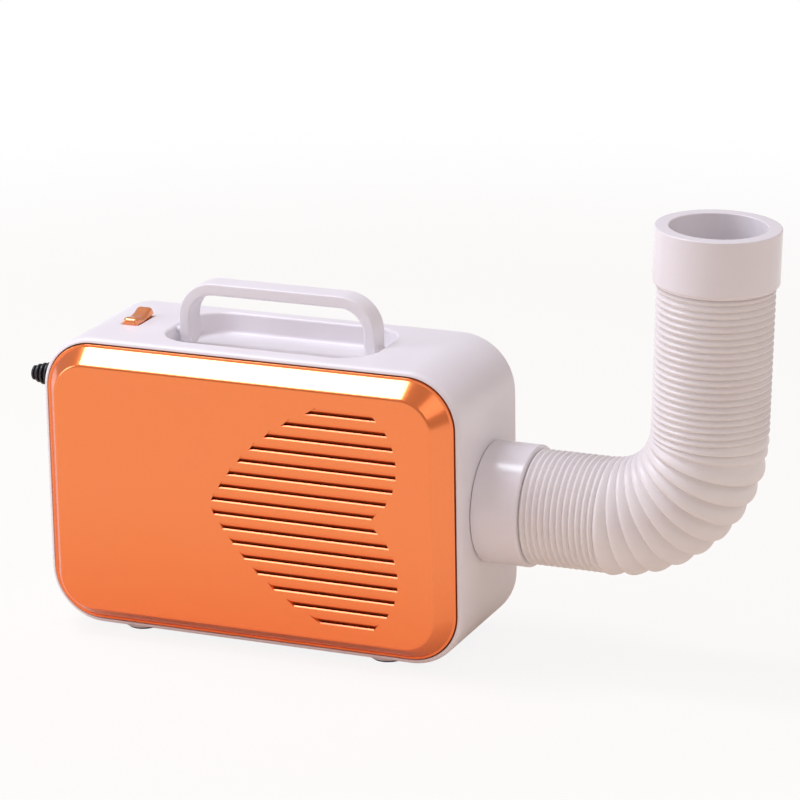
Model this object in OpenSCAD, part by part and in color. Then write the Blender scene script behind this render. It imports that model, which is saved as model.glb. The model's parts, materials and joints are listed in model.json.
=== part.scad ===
// Pet dryer: a boxy warm-air blower with a louvred front, a folding bail handle and
// a stay-put ribbed hose that turns up to a round nozzle.
// X runs along the front towards the hose, Y runs from the front to the back, Z is up.
// The origin is on the resting plane, under the middle of the housing. Sizes in mm.

/* [Housing] */
// Width of the housing
body_w = 300; // [290:5:330]
// Height of the housing without its feet
body_h = 200; // [196:2:220]
// Depth of the housing without the raised front panel
body_d = 100; // [98:2:116]
// Corner radius of the housing, seen from the front
corner_r = 37; // [30:1:42]
// Rounding of the outer edges
edge_r = 3; // [1:0.5:4]
// Wall of the housing
wall = 3.2; // [2.4:0.2:3.4]

/* [Feet] */
// Height of the feet
foot_h = 4; // [3:0.5:8]
// Radius of a foot
foot_r = 13; // [9:1:15]
// How far a rubber pad stands out of its foot
pad_proud = 1.5; // [1:0.25:2.5]
// Distance of the feet from the middle, along the width
foot_x = 90; // [70:5:100]
// Distance of the feet from the middle, along the depth
foot_y = 32; // [24:1:33]

/* [Front panel] */
// Gap round the panel's rim
panel_gap = 0.8; // [0.4:0.1:1.2]
// How far the panel's face stands in front of the housing
panel_proud = 14; // [12:0.5:18]
// Width of the panel's bevel, seen from the front
bevel_w = 11; // [8:0.5:13]
// Thickness of the panel
panel_t = 2.4; // [1.8:0.1:3]
// Number of louvre slots
slot_count = 16; // [8:2:16]
// Height of a slot
slot_h = 4; // [2.5:0.25:4.5]
// Slope of the slots, down and inwards
slot_slope = 45; // [20:5:50]
// Thickness of the panel behind the slots
grille_t = 5; // [3.5:0.5:5.5]
// Distance of the heart of slots from the bevel, above and below
heart_margin = 11.75; // [10:0.25:20]
// Distance of the lobes' centres from the housing's right side
lobe_in = 83; // [80:1:92]
// Radius of the two lobes, as a share of the heart's height
lobe_size = 0.3; // [0.27:0.005:0.32]
// Height of a lobe's centre over the heart's middle, as a share of the heart's height
lobe_up = 0.26; // [0.22:0.005:0.28]
// Radius of the two long flanks, as a share of the heart's height
flank_size = 1.07; // [1.04:0.01:1.1]
// Distance of a flank's centre to the right of the lobes' centres, as a share of that height
flank_over = 0.34; // [0.32:0.005:0.36]
// Distance of a flank's centre past the heart's middle, as a share of that height
flank_past = 0.485; // [0.47:0.005:0.5]

/* [Handle] */
// Gap between the handle and each end of its well
handle_gap = 5; // [3:0.5:12]
// Height of the handle above its pivots
handle_rise = 36; // [30:1:36]
// Width of the handle's strap, front to back
strap_w = 17; // [12:1:18]
// Thickness of the handle's strap
strap_t = 7; // [5:0.5:9]
// Outer corner radius of the handle
handle_r = 25; // [18:1:27]
// Distance of the handle's middle from the housing's middle
handle_x = 2; // [-6:1:6]
// Radius of the pivot pins
pin_r = 2.2; // [1.5:0.1:2.5]
// Depth of the pivots below the top
pivot_drop = 3.6; // [3.4:0.1:5]
// Clearance of the handle on its pins
pivot_fit = 0.06; // [0.03:0.01:0.1]
// Length of the handle's well
well_l = 152; // [150:1:160]
// Width of the handle's well
well_w = 74; // [74:1:78]
// Corner radius of the well
well_r = 25; // [20:1:28]
// Depth of the well
well_depth = 14.5; // [14:0.5:18]
// Distance of the well's middle from the housing's middle, along the depth
well_y = 2; // [-2:0.5:4]

/* [Switch] */
// Distance of the rocker from the housing's left side
rocker_in = 46.5; // [44:0.5:52]
// Length of the rocker
rocker_l = 26; // [20:1:28]
// Width of the rocker
rocker_w = 10.5; // [8:0.5:12]
// Tilt of the rocker to each side
rocker_tilt = 6; // [3:1:7]
// Height of the rocker above the top
rocker_proud = 4.5; // [3:0.5:6]
// Gap round the rocker
rocker_gap = 0.9; // [0.8:0.1:1.4]

/* [Cord entry] */
// Height of the cord entry above the housing's middle
boot_up = 57; // [40:1:60]
// Length of the strain relief outside the housing
boot_l = 31; // [24:1:45]
// Radius of the strain relief at the housing
boot_r = 9; // [8:0.5:10]
// Radius of the strain relief at its tip
boot_tip_r = 5; // [4.6:0.2:6]
// Radius of the bore for the cord
cord_r = 3.5; // [2.5:0.25:4]
// Distance from rib to rib on the strain relief
boot_pitch = 3.5; // [3:0.25:5]

/* [Hose] */
// Distance of the hose behind the housing's middle
hose_y = 5; // [0:0.5:5]
// Outer radius of the two cuffs
cuff_r = 40.4; // [39.5:0.1:42]
// Bore radius of the two cuffs
cuff_bore_r = 31.3; // [28:0.1:32]
// Length of the lower cuff outside the housing
cuff_l = 32; // [24:1:40]
// Length of the nozzle cuff
nozzle_l = 38; // [28:1:50]
// Radius over the hose's ribs
hose_r = 38; // [36:0.5:39]
// Depth of the hose's ribs
rib_depth = 2.2; // [1:0.1:3]
// Bore radius of the hose
hose_bore_r = 33; // [32:0.2:33.4]
// Length of the closed-up stretch next to the housing
lower_l = 51; // [40:1:80]
// Ribs in that stretch
lower_ribs = 12; // [8:1:18]
// Bend radius of the elbow's centre line
elbow_r = 67; // [60:1:90]
// Turn of the elbow, in degrees
elbow_turn = 88; // [70:1:95]
// Ribs in the elbow
elbow_ribs = 10; // [7:1:14]
// Length of the upright stretch
upper_l = 97; // [60:1:140]
// Ribs in the upright stretch
upper_ribs = 22; // [14:1:30]

/* [Blower] */
// Distance of the impeller's axis from the housing's middle, to the side
fan_x = 10; // [8:1:11]
// Radius of the impeller
fan_r = 42; // [38:1:43]
// Width of the impeller
fan_w = 29; // [22:1:30]
// Blades on the impeller
blade_count = 24; // [16:2:32]
// Smallest radius of the scroll
scroll_r = 47; // [46:1:48]
// Growth of the scroll's radius in each quarter turn
scroll_step = 7; // [5:0.5:7]
// Radius of the air inlet
inlet_r = 33; // [28:1:33]
// Radius of the motor
motor_r = 23; // [18:1:24]
// Length of the motor's can
motor_l = 34; // [26:1:36]
// Radius of the motor's shaft
shaft_r = 2.5; // [1.5:0.1:3]
// Running clearance of the shaft and of the hose in their seats
run_fit = 0.05; // [0.02:0.01:0.08]
// Turns of the heater coil
coil_turns = 9; // [5:1:12]

/* [Hidden] */
$fn = 72;

// Small sizes that many pieces share
eps = 0.01;
slack = 0.3;
cut = 20;
screw_r = 1.4;
screw_head_r = 2.8;
screw_head_h = 1.8;
screw_grip = 6;
hole_r = screw_r + slack / 2;
hold_fit = 0.02;

// Planes and centres of the housing
mid_z = foot_h + body_h / 2;
top_z = foot_h + body_h;
front_y = -body_d / 2;
back_y = body_d / 2;
side_x = body_w / 2;
inner_x = side_x - wall;
inner_back_y = back_y - wall;
face_y = front_y - panel_proud;

// Feet and their pads
pad_r = foot_r - 2;
pad_seat = 1.5;

// Front chassis, a plate across the open front
chassis_t = 3;
chassis_y = front_y + 4;
chassis_back_y = chassis_y + chassis_t;
chassis_screw_l = 12;
post_r = 5;
post_x = side_x - corner_r + (corner_r - wall - post_r - slack) * cos(45);
post_z = body_h / 2 - corner_r + (corner_r - wall - post_r - slack) * sin(45);

// Front panel
panel_w = body_w - 2 * (wall + panel_gap);
panel_h = body_h - 2 * (wall + panel_gap);
panel_r = corner_r - wall - panel_gap;
panel_lip = 1.2;
panel_depth = chassis_y - face_y;
panel_post_r = 4;
panel_post_x = panel_w / 2 - bevel_w - panel_t - panel_post_r - 1.5;
panel_post_z = 55;
panel_screw_l = chassis_t + 1.5 * screw_grip;

// Heart of slots, lying on its side: two arcs for the lobes and two for the flanks
heart_h = panel_h - 2 * (bevel_w + heart_margin);
slot_pitch = (heart_h - slot_h) / (slot_count - 1);
lobe_x = side_x - lobe_in;
lobe_r = lobe_size * heart_h;
lobe_z = lobe_up * heart_h;
flank_r = flank_size * heart_h;
flank_x = lobe_x + flank_over * heart_h;
flank_z = flank_past * heart_h;
grille_edge = 6;
grille_left = heart_left(0) - grille_edge;
grille_right = lobe_x + lobe_r + grille_edge;
grille_h = heart_h + 2 * grille_edge;

// Filter, between the grille and the chassis
filter_edge = 2;
filter_left = grille_left - filter_edge;
filter_right = grille_right + filter_edge;
filter_h = grille_h + filter_edge;
filter_rim = 3;
filter_bar = 2;
foam_t = 7.5;
filter_y = face_y + grille_t + 0.8;

// Handle, well and pivots
handle_w = well_l - 2 * handle_gap;
pivot_z = top_z - pivot_drop;
pin_l = handle_gap + strap_t + wall + 4;
pin_end = well_l / 2 + wall + 3;
pin_boss_wall = 0.8;
pin_boss_l = 4;
strap_round = 2.4;

// Rocker switch
rocker_x = rocker_in - side_x;
rocker_y = well_y;
rocker_pivot_z = top_z - wall - 2.2;
rocker_axle_r = 1.2;
rocker_hub_r = 3.2;
rocker_base = 1.5;
rocker_dish = 1.5;
switch_wall = 1.8;
switch_h = 18;
tab_y = 7;
tab_w = 4;
tab_t = 0.8;
tab_l = 6;

// Cord entry
boot_y = -5;
boot_z = mid_z + boot_up;
boot_neck_r = boot_r - 1.8;
boot_flange_r = boot_r + 1;
boot_flange_t = 2.5;
boot_rib_t = 2;
boot_rib_h = 1.6;
clamp_x = -inner_x + boot_flange_t + 7;
clamp_l = 8;
clamp_w = 26;
clamp_h = 7;
clamp_screw_y = 9;
clamp_screw_l = clamp_h + 0.8 * screw_grip;
cradle_h = 9;

// Hose, its seat in the housing and its centre line
spigot_r = 37;
spigot_l = 18;
socket_wall = 2.8;
socket_web = 5;
ear_r = 4.5;
ear_t = 4;
ear_z = spigot_r + socket_wall + ear_r;
ear_x = side_x - wall - 2 * ear_t;
socket_x = side_x - spigot_l - socket_web;
cuff_end_x = side_x + cuff_l;
bend_x = cuff_end_x + lower_l;
elbow_end = [bend_x + elbow_r * sin(elbow_turn), hose_y, mid_z + elbow_r * (1 - cos(elbow_turn))];
hose_dir = [cos(elbow_turn), 0, sin(elbow_turn)];
hose_top = elbow_end + upper_l * hose_dir;
hose_sides = 26;

// Blower
casing_wall = 2;
cover_t = 2.4;
scroll_front_y = chassis_back_y + cover_t;
scroll_depth = 36.6;
scroll_back_y = scroll_front_y + scroll_depth;
volute_back_y = scroll_back_y + cover_t;
scroll_top = scroll_r + 3 * scroll_step;
outlet_h = 60;
outlet_l = 60;
fan_z = mid_z - scroll_top + outlet_h / 2;
fan_back_y = scroll_back_y - 2.4;
fan_plate = 1.6;
blade_t = 0.9;
blade_r = 9;
hub_r = shaft_r + 4;
hub_l = 14;
volute_screw_l = 15;
boss_r = 4;
damper_r = 4;
damper_h = 2.5;
motor_y = volute_back_y + damper_h;
motor_cap_t = 3;
motor_wall = 1.6;
motor_in_r = motor_r - motor_wall;
motor_hole_r = shaft_r + 1;
can_y = motor_y + motor_cap_t;
bush_r = 5;
bush_l = 4;
magnet_t = 4;
screw_ring = motor_r + 4;
flange_r = screw_ring + 4;

// Heater and its duct
duct_x = fan_x + outlet_l;
duct_l = 14;
duct_wall = 1.6;
tube_r = 33;
tube_wall = 0.8;
tube_start_x = duct_x + duct_l + 2;
tube_end_x = socket_x + socket_web - 1;
frame_x = tube_start_x + 1;
frame_l = tube_end_x - tube_start_x - 2;
hoop_l = 3;
mica_r = 25.6;
mica_t = 1;
coil_r = 26;
coil_wire_r = 0.6;
coil_margin = 5;
fuse_r = 2;

// Circuit board, on the back wall
board_x = 50 - side_x;
board_z = mid_z - 22;
board_w = 62;
board_h = 78;
board_t = 1.6;
board_gap = 9;
board_y = inner_back_y - board_gap - board_t;
board_edge = 4;
board_hole_x = board_w / 2 - board_edge;
board_hole_z = board_h / 2 - board_edge;
board_screw_l = board_t + screw_grip;
terminal_w = 32;
terminal_h = 10;
terminal_z = board_z - 28;
terminal_d = 12;
relay_at = [-30, 6];
relay_size = [19, 15, 16];
capacitor_at = [14, 26];
capacitor_r = 8;
capacitor_l = 20;

// Leads, from the terminal block's top to the piece that each one serves
lead_r = 1.1;
lead_sides = 8;
lead_steps = 12;
lead_pitch = 5;
lead_bow = 20;
terminal = [board_x, board_y - terminal_d + 2 * lead_r, terminal_z + terminal_h];
heater_lead_a = 25;

// ---- shared shapes ----------------------------------------------------------

// Sets a shape drawn in X and Y, and rising along Z, against a plane of constant Y:
// its Y becomes the height above the housing's middle and its Z runs to the front.
module facing_front(y) {
    translate([0, y, mid_z]) rotate([90, 0, 0]) children();
}

// A cylinder along X, from x by length l
module bar_x(x, y, z, r, l, r2 = 0) {
    translate([x, y, z]) rotate([0, 90, 0]) cylinder(r1 = r, r2 = r2 > 0 ? r2 : r, h = l);
}

// A cylinder along Y, from y by length l towards the back
module bar_y(x, y, z, r, l, r2 = 0) {
    translate([x, y, z]) rotate([-90, 0, 0]) cylinder(r1 = r, r2 = r2 > 0 ? r2 : r, h = l);
}

// A rectangle with round corners
module round_rect(w, h, r) {
    square([w - 2 * r, h], center = true);
    square([w, h - 2 * r], center = true);
    for (sx = [-1, 1], sy = [-1, 1])
        translate([sx * (w / 2 - r), sy * (h / 2 - r)]) circle(r);
}

// Sweeps a profile round a rectangle with round corners. The profile's X is the distance
// from the corner's centre, up to r, and its Y is the height.
module rim_sweep(w, h, r) {
    for (q = [0:3]) {
        odd = q % 2 == 1;
        along = odd ? w : h;
        across = odd ? h : w;
        rotate([0, 0, 90 * q]) translate([across / 2 - r, along / 2 - r, 0]) {
            rotate_extrude(angle = 90) children();
            rotate([90, 0, 0]) linear_extrude(along - 2 * r) children();
        }
    }
}

// A slab with round corners and round outer edges
module rounded_slab(w, h, d, r, e) {
    rim_sweep(w, h, r) {
        square([r - e, d]);
        translate([0, e]) square([r, d - 2 * e]);
        for (y = [e, d - e]) translate([r - e, y]) circle(e);
    }
    translate([r - w / 2, r - h / 2, 0]) cube([w - 2 * r, h - 2 * r, d]);
}

// A countersunk screw along Y, its head's face at y and its tip towards the back
module flush_screw_y(x, y, z, l) {
    bar_y(x, y, z, screw_head_r, screw_head_h, screw_r);
    bar_y(x, y + screw_head_h, z, screw_r, l - screw_head_h);
}

// The hole that a countersunk screw needs in its plate
module flush_hole_y(x, y, z, l) {
    bar_y(x, y - eps, z, screw_head_r + slack / 2, screw_head_h, hole_r);
    bar_y(x, y, z, hole_r, l);
}

// A pan-head screw along Z of its own frame, its head's underside at 0 and its tip below
module pan_screw(l) {
    cylinder(r = screw_head_r, h = screw_head_h);
    translate([0, 0, -l]) cylinder(r = screw_r, h = l);
}

// Rings of points for a swept tube. A station is [centre, direction, radius].
function unit(v) = v / norm(v);
function ring(station, sides, ref) =
    let (u = unit(cross(station[1], ref)), v = unit(cross(station[1], u)))
    [for (k = [0:sides - 1])
        station[0] + station[2] * (cos(360 * k / sides) * u + sin(360 * k / sides) * v)];
function skin(rings, sides, closed) =
    [for (i = [0:rings - (closed ? 1 : 2)], k = [0:sides - 1], half = [0, 1])
        let (j = (i + 1) % rings, m = (k + 1) % sides)
        half == 0 ? [i * sides + k, j * sides + k, i * sides + m]
                  : [i * sides + m, j * sides + k, j * sides + m]];

// A solid tube through its stations
module solid_tube(stations, sides, ref) {
    n = len(stations);
    polyhedron(
        points = [for (s = stations) each ring(s, sides, ref)],
        faces = concat(skin(n, sides, false),
            [[for (k = [0:sides - 1]) k],
             [for (k = [0:sides - 1]) n * sides - 1 - k]]));
}

// A hollow tube: its stations run out along the skin and back along the bore
module hollow_tube(stations, sides, ref) {
    polyhedron(
        points = [for (s = stations) each ring(s, sides, ref)],
        faces = skin(len(stations), sides, true));
}

// A lead that stands on the terminal block at a, bows out and ends at b
module lead(a, b, bow) {
    solid_tube([for (i = [0:lead_steps]) let (t = 180 * i / lead_steps)
        [a + (b - a) * i / lead_steps + bow * sin(t),
            i == 0 ? [0, 0, 1] : unit(b - a + PI * cos(t) * bow), lead_r]],
        lead_sides, [0.3, 1, 0.2]);
}

// ---- housing ----------------------------------------------------------------

module corner_posts(r, y, l) {
    for (sx = [-1, 1], sz = [-1, 1]) bar_y(sx * post_x, y, mid_z + sz * post_z, r, l);
}

module at_feet() {
    for (sx = [-1, 1], sy = [-1, 1]) translate([sx * foot_x, sy * foot_y, 0]) children();
}

module well_shape(z, h, grow) {
    translate([handle_x, well_y, z]) linear_extrude(h)
        round_rect(well_l + 2 * grow, well_w + 2 * grow, well_r + grow);
}

module pin_seats(r, x, l) {
    for (s = [-1, 1]) translate([handle_x, 0, 0]) mirror([s < 0 ? 1 : 0, 0, 0])
        bar_x(x, well_y, pivot_z, r, l);
}

module board_posts(r, y, l) {
    for (sx = [-1, 1], sz = [-1, 1])
        bar_y(board_x + sx * board_hole_x, y, board_z + sz * board_hole_z, r, l);
}

module cord_cradle() {
    translate([-inner_x - eps, boot_y - clamp_w / 2, boot_z - cradle_h])
        cube([clamp_x + clamp_l + inner_x, clamp_w, cradle_h]);
}

module at_clamp_screws(z) {
    for (s = [-1, 1]) translate([clamp_x + clamp_l / 2, boot_y + s * clamp_screw_y, z]) children();
}

module socket_ears(x, l, r) {
    for (s = [-1, 1]) bar_x(x, hose_y, mid_z + s * ear_z, r, l);
}

module housing_shell() {
    color("white") difference() {
        union() {
            difference() {
                facing_front(back_y) rounded_slab(body_w, body_h, body_d, corner_r, edge_r);
                facing_front(inner_back_y) rounded_slab(body_w - 2 * wall, body_h - 2 * wall,
                    body_d + cut, corner_r - wall, edge_r / 2);
            }
            well_shape(top_z - well_depth - wall, well_depth + wall / 2, wall);
            pin_seats(pin_r + pin_boss_wall, well_l / 2 + wall - eps, pin_boss_l);
            at_feet() translate([0, 0, pad_proud]) cylinder(r = foot_r, h = foot_h + wall - pad_proud);
            corner_posts(post_r, chassis_back_y, inner_back_y - chassis_back_y + eps);
            board_posts(2 * screw_r, board_y + board_t, board_gap + eps);
            cord_cradle();
            socket_ears(ear_x + ear_t, ear_t + eps, ear_r);
        }
        well_shape(top_z - well_depth, well_depth + cut, 0);
        pin_seats(pin_r + hold_fit, well_l / 2 - cut / 2, pin_end - well_l / 2 + cut / 2 + hold_fit);
        translate([rocker_x, rocker_y, top_z]) cube([rocker_w + 2 * rocker_gap,
            rocker_l + 2 * rocker_gap, 3 * wall], center = true);
        bar_x(-side_x - cut, boot_y, boot_z, boot_neck_r + hold_fit, cut + wall + eps);
        bar_x(-inner_x - eps, boot_y, boot_z, boot_flange_r + slack, boot_flange_t + slack);
        bar_x(-inner_x + boot_flange_t, boot_y, boot_z, cord_r, cut + cut);
        at_clamp_screws(boot_z - clamp_screw_l / 2) cylinder(r = screw_r, h = cut);
        bar_x(inner_x - cut / 2, hose_y, mid_z, spigot_r + slack, cut);
        socket_ears(ear_x + ear_t - eps, ear_t, screw_r);
        at_feet() translate([0, 0, pad_proud - eps]) cylinder(r = pad_r + eps, h = pad_seat);
        corner_posts(screw_r, chassis_back_y - eps, chassis_screw_l);
        board_posts(screw_r, board_y + board_t - eps, board_screw_l);
    }
}

module foot_pads() {
    color("dimgray") at_feet() cylinder(r = pad_r, h = pad_proud + pad_seat - eps);
}

// ---- front ------------------------------------------------------------------

module front_chassis() {
    color("gainsboro") difference() {
        facing_front(chassis_back_y) linear_extrude(chassis_t) round_rect(
            body_w - 2 * wall - slack, body_h - 2 * wall - slack, corner_r - wall - slack / 2);
        bar_y(fan_x, chassis_y - eps, fan_z, inlet_r + 1, chassis_t + 2 * eps);
        for (sx = [-1, 1], sz = [-1, 1]) {
            flush_hole_y(sx * post_x, chassis_y, mid_z + sz * post_z, chassis_t + eps);
            bar_y(sx * panel_post_x, chassis_y - eps, mid_z + sz * panel_post_z,
                hole_r, chassis_t + 2 * eps);
        }
        for (p = volute_bosses) flush_hole_y(p[0], chassis_y, p[1], chassis_t + eps);
    }
}

module chassis_screws() {
    color("silver") for (sx = [-1, 1], sz = [-1, 1])
        flush_screw_y(sx * post_x, chassis_y, mid_z + sz * post_z, chassis_screw_l);
}

function slot_z(i) = (slot_h - heart_h) / 2 + i * slot_pitch;
function arc_x(r, z) = sqrt(max(1, pow(r, 2) - pow(z, 2)));
function heart_right(z) = lobe_x + arc_x(lobe_r, abs(z) - lobe_z);
function heart_left(z) = flank_x - arc_x(flank_r, abs(z) + flank_z);

// Height of the panel's outer skin over its back edge, as seen in its corner's section
module panel_section() {
    rim_z = chassis_y - front_y;
    polygon([[panel_r, 0], [panel_r, rim_z], [panel_r - panel_lip, rim_z + panel_lip],
        [panel_r - bevel_w, panel_depth], [0, panel_depth], [0, panel_depth - panel_t],
        [panel_r - bevel_w - panel_t / 3, panel_depth - panel_t],
        [panel_r - panel_lip - panel_t, rim_z], [panel_r - panel_t, 0]]);
}

module front_panel() {
    color("chocolate") difference() {
        facing_front(chassis_y) {
            rim_sweep(panel_w, panel_h, panel_r) panel_section();
            translate([panel_r - panel_w / 2, panel_r - panel_h / 2, panel_depth - panel_t])
                cube([panel_w - 2 * panel_r, panel_h - 2 * panel_r, panel_t]);
            translate([grille_left, -grille_h / 2, panel_depth - grille_t])
                cube([grille_right - grille_left, grille_h, grille_t - panel_t / 2]);
            for (sx = [-1, 1], sz = [-1, 1])
                translate([sx * panel_post_x, sz * panel_post_z, 0])
                    cylinder(r = panel_post_r, h = panel_depth - panel_t / 2);
        }
        for (i = [0:slot_count - 1]) {
            left = heart_left(slot_z(i));
            right = heart_right(slot_z(i));
            translate([left, face_y, mid_z + slot_z(i)]) rotate([-slot_slope, 0, 0])
                translate([0, -cut / 2, -slot_h / 2 * cos(slot_slope)])
                    cube([right - left, cut + grille_t, slot_h * cos(slot_slope)]);
        }
        for (sx = [-1, 1], sz = [-1, 1])
            bar_y(sx * panel_post_x, face_y + panel_t + 1, mid_z + sz * panel_post_z,
                screw_r, panel_depth);
    }
}

module panel_screws() {
    color("silver") for (sx = [-1, 1], sz = [-1, 1])
        translate([sx * panel_post_x, chassis_back_y, mid_z + sz * panel_post_z])
            rotate([-90, 0, 0]) pan_screw(panel_screw_l);
}

module filter_frame() {
    w = filter_right - filter_left;
    x = (filter_left + filter_right) / 2;
    depth = chassis_y - filter_y;
    bar_depth = depth - foam_t;
    color("whitesmoke") {
        difference() {
            translate([x - w / 2, filter_y, mid_z - filter_h / 2]) cube([w, depth, filter_h]);
            translate([x - w / 2 + filter_rim, filter_y - eps, mid_z - filter_h / 2 + filter_rim])
                cube([w - 2 * filter_rim, depth + 2 * eps, filter_h - 2 * filter_rim]);
        }
        for (i = [1:4]) translate([x - w / 2 + filter_rim - eps, chassis_y - bar_depth,
                mid_z - filter_h / 2 + i * filter_h / 5 - filter_bar / 2])
            cube([w - 2 * filter_rim + 2 * eps, bar_depth, filter_bar]);
    }
}

module filter_foam() {
    w = filter_right - filter_left - 2 * filter_rim;
    color("dimgray") translate([filter_left + filter_rim, filter_y, mid_z - filter_h / 2 + filter_rim])
        cube([w, foam_t, filter_h - 2 * filter_rim]);
}

// ---- handle -----------------------------------------------------------------

module handle() {
    reach = 2 * handle_rise;
    color("white") difference() {
        union() {
            intersection() {
                translate([handle_x, well_y + strap_w / 2, pivot_z]) rotate([90, 0, 0])
                    rim_sweep(handle_w, reach, handle_r) strap_section();
                translate([handle_x - handle_w, well_y - strap_w, pivot_z])
                    cube([2 * handle_w, 2 * strap_w, reach]);
            }
            handle_eyes(strap_w / 2, strap_t);
        }
        handle_eyes(pin_r + pivot_fit, strap_t + cut);
    }
}

// Section of the strap: its outer face is at handle_r and its width runs along Y
module strap_section() {
    translate([handle_r - strap_t / 2, strap_w / 2]) round_rect(strap_t, strap_w, strap_round);
}

module handle_eyes(r, l) {
    for (s = [-1, 1])
        bar_x(handle_x + s * (handle_w - strap_t) / 2 - l / 2, well_y, pivot_z, r, l);
}

module handle_pins() {
    color("white") for (s = [-1, 1]) translate([handle_x, 0, 0]) mirror([s < 0 ? 1 : 0, 0, 0])
        bar_x(pin_end - pin_l, well_y, pivot_z, pin_r, pin_l);
}

// ---- switch -----------------------------------------------------------------

module rocker_cap() {
    crown = top_z - rocker_pivot_z + rocker_proud;
    dish_r = pow(rocker_l / 2, 2) / (2 * rocker_dish);
    color("chocolate") translate([rocker_x, rocker_y, rocker_pivot_z])
        rotate([rocker_tilt, 0, 0]) difference() {
            union() {
                translate([-rocker_w / 2, -rocker_l / 2, rocker_base])
                    cube([rocker_w, rocker_l, crown - rocker_base]);
                bar_x(-rocker_w / 2, 0, 0, rocker_hub_r, rocker_w);
            }
            bar_x(-rocker_w, 0, crown - rocker_dish + dish_r, dish_r, 2 * rocker_w, $fn = 360);
            bar_x(-rocker_w, 0, 0, rocker_axle_r + run_fit, 2 * rocker_w);
        }
}

module rocker_axle() {
    l = rocker_w + 2 * rocker_gap + switch_wall;
    color("silver") bar_x(rocker_x - l / 2, rocker_y, rocker_pivot_z, rocker_axle_r, l);
}

module switch_body() {
    in_w = rocker_w + 2 * rocker_gap;
    in_l = rocker_l + 2 * rocker_gap + 2;
    color("dimgray") difference() {
        union() {
            translate([rocker_x, rocker_y, top_z - wall - switch_h / 2])
                cube([in_w + 2 * switch_wall, in_l + 2 * switch_wall, switch_h], center = true);
            for (s = [-1, 1]) translate([rocker_x - tab_w / 2, rocker_y + s * tab_y - tab_t / 2,
                    top_z - wall - switch_h - tab_l])
                cube([tab_w, tab_t, tab_l + eps]);
        }
        translate([rocker_x, rocker_y, top_z - wall]) cube([in_w, in_l, switch_h], center = true);
        bar_x(rocker_x - in_w, rocker_y, rocker_pivot_z, rocker_axle_r + hold_fit, 2 * in_w);
    }
}

// ---- cord entry -------------------------------------------------------------

module cord_boot() {
    span = boot_l - boot_rib_t - slack / 2;
    ribs = round(span / boot_pitch);
    color("black") difference() {
        union() {
            bar_x(-side_x - boot_l, boot_y, boot_z, boot_tip_r - boot_rib_h / 2, boot_l,
                boot_r - boot_rib_h);
            bar_x(-side_x - boot_l, boot_y, boot_z, boot_tip_r, boot_rib_t);
            for (i = [0:ribs - 1])
                bar_x(-side_x - slack / 2 - boot_rib_t - i * span / ribs, boot_y, boot_z,
                    boot_r - (boot_r - boot_tip_r) * i / ribs, boot_rib_t);
            bar_x(-side_x - slack / 2, boot_y, boot_z, boot_neck_r, wall + slack);
            bar_x(-inner_x, boot_y, boot_z, boot_flange_r, boot_flange_t);
        }
        bar_x(-side_x - boot_l - 1, boot_y, boot_z, cord_r, boot_l + wall + boot_flange_t + 2);
    }
}

module cord_clamp() {
    color("white") difference() {
        translate([clamp_x, boot_y - clamp_w / 2, boot_z]) cube([clamp_l, clamp_w, clamp_h]);
        bar_x(clamp_x - 1, boot_y, boot_z, cord_r, clamp_l + 2);
        at_clamp_screws(boot_z - 1) cylinder(r = hole_r, h = clamp_h + 2);
    }
}

module clamp_screws() {
    color("silver") at_clamp_screws(boot_z + clamp_h) pan_screw(clamp_screw_l);
}

// ---- blower -----------------------------------------------------------------

// Radius of the scroll after a turn of a degrees, from the outlet's lower edge down and round
function scroll_at(a) = scroll_r + scroll_step * a / 90;

// Screw bosses round the scroll, three against its outside and one over the outlet
boss_gap = casing_wall + 2.2;
volute_bosses = concat(
    [for (a = [45, 145, 210]) [fan_x, fan_z] + (scroll_at(a) + boss_gap) * [cos(a), -sin(a)]],
    [[fan_x + outlet_l - 10, fan_z + scroll_top + boss_gap]]);

// The scroll's outline as a slab facing the front, from y towards the front by l. Seen from
// the front it is a spiral that ends in a channel to the right, which is out_l long.
module scroll_slab(y, l, grow, out_l) {
    floor_z = scroll_top - outlet_h - grow;
    tongue_x = sqrt(pow(scroll_r + grow, 2) - pow(floor_z, 2));
    translate([fan_x, y, fan_z]) rotate([90, 0, 0]) linear_extrude(l) polygon(concat(
        [for (a = [0:5:270]) (scroll_at(a) + grow) * [cos(a), -sin(a)]],
        [[out_l, scroll_top + grow], [out_l, floor_z], [tongue_x, floor_z]]));
}

module volute_front() {
    color("lightgray") difference() {
        union() {
            scroll_slab(scroll_front_y, cover_t, casing_wall, outlet_l);
            for (p = volute_bosses) bar_y(p[0], chassis_back_y, p[1], boss_r, cover_t);
            bar_y(fan_x, scroll_front_y - eps, fan_z, inlet_r + casing_wall, casing_wall);
        }
        bar_y(fan_x, chassis_back_y - 1, fan_z, inlet_r, cover_t + 4);
        for (p = volute_bosses) bar_y(p[0], chassis_back_y - 1, p[1], hole_r, cover_t + 2);
    }
}

module volute_rear() {
    color("lightgray") difference() {
        union() {
            scroll_slab(volute_back_y, scroll_depth + cover_t, casing_wall, outlet_l);
            for (p = volute_bosses) bar_y(p[0], scroll_front_y, p[1], boss_r, scroll_depth + cover_t);
        }
        scroll_slab(scroll_back_y, scroll_depth + cut, 0, outlet_l + 1);
        bar_y(fan_x, scroll_back_y - 1, fan_z, bush_r + 1.5, cover_t + 2);
        for (p = volute_bosses) bar_y(p[0], scroll_front_y - 1, p[1], screw_r, volute_screw_l);
        motor_screw_ring() bar_y(0, scroll_back_y - 1, 0, hole_r, cover_t + 2);
    }
}

module volute_screws() {
    color("silver") for (p = volute_bosses) flush_screw_y(p[0], chassis_y, p[1], volute_screw_l);
}

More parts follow.
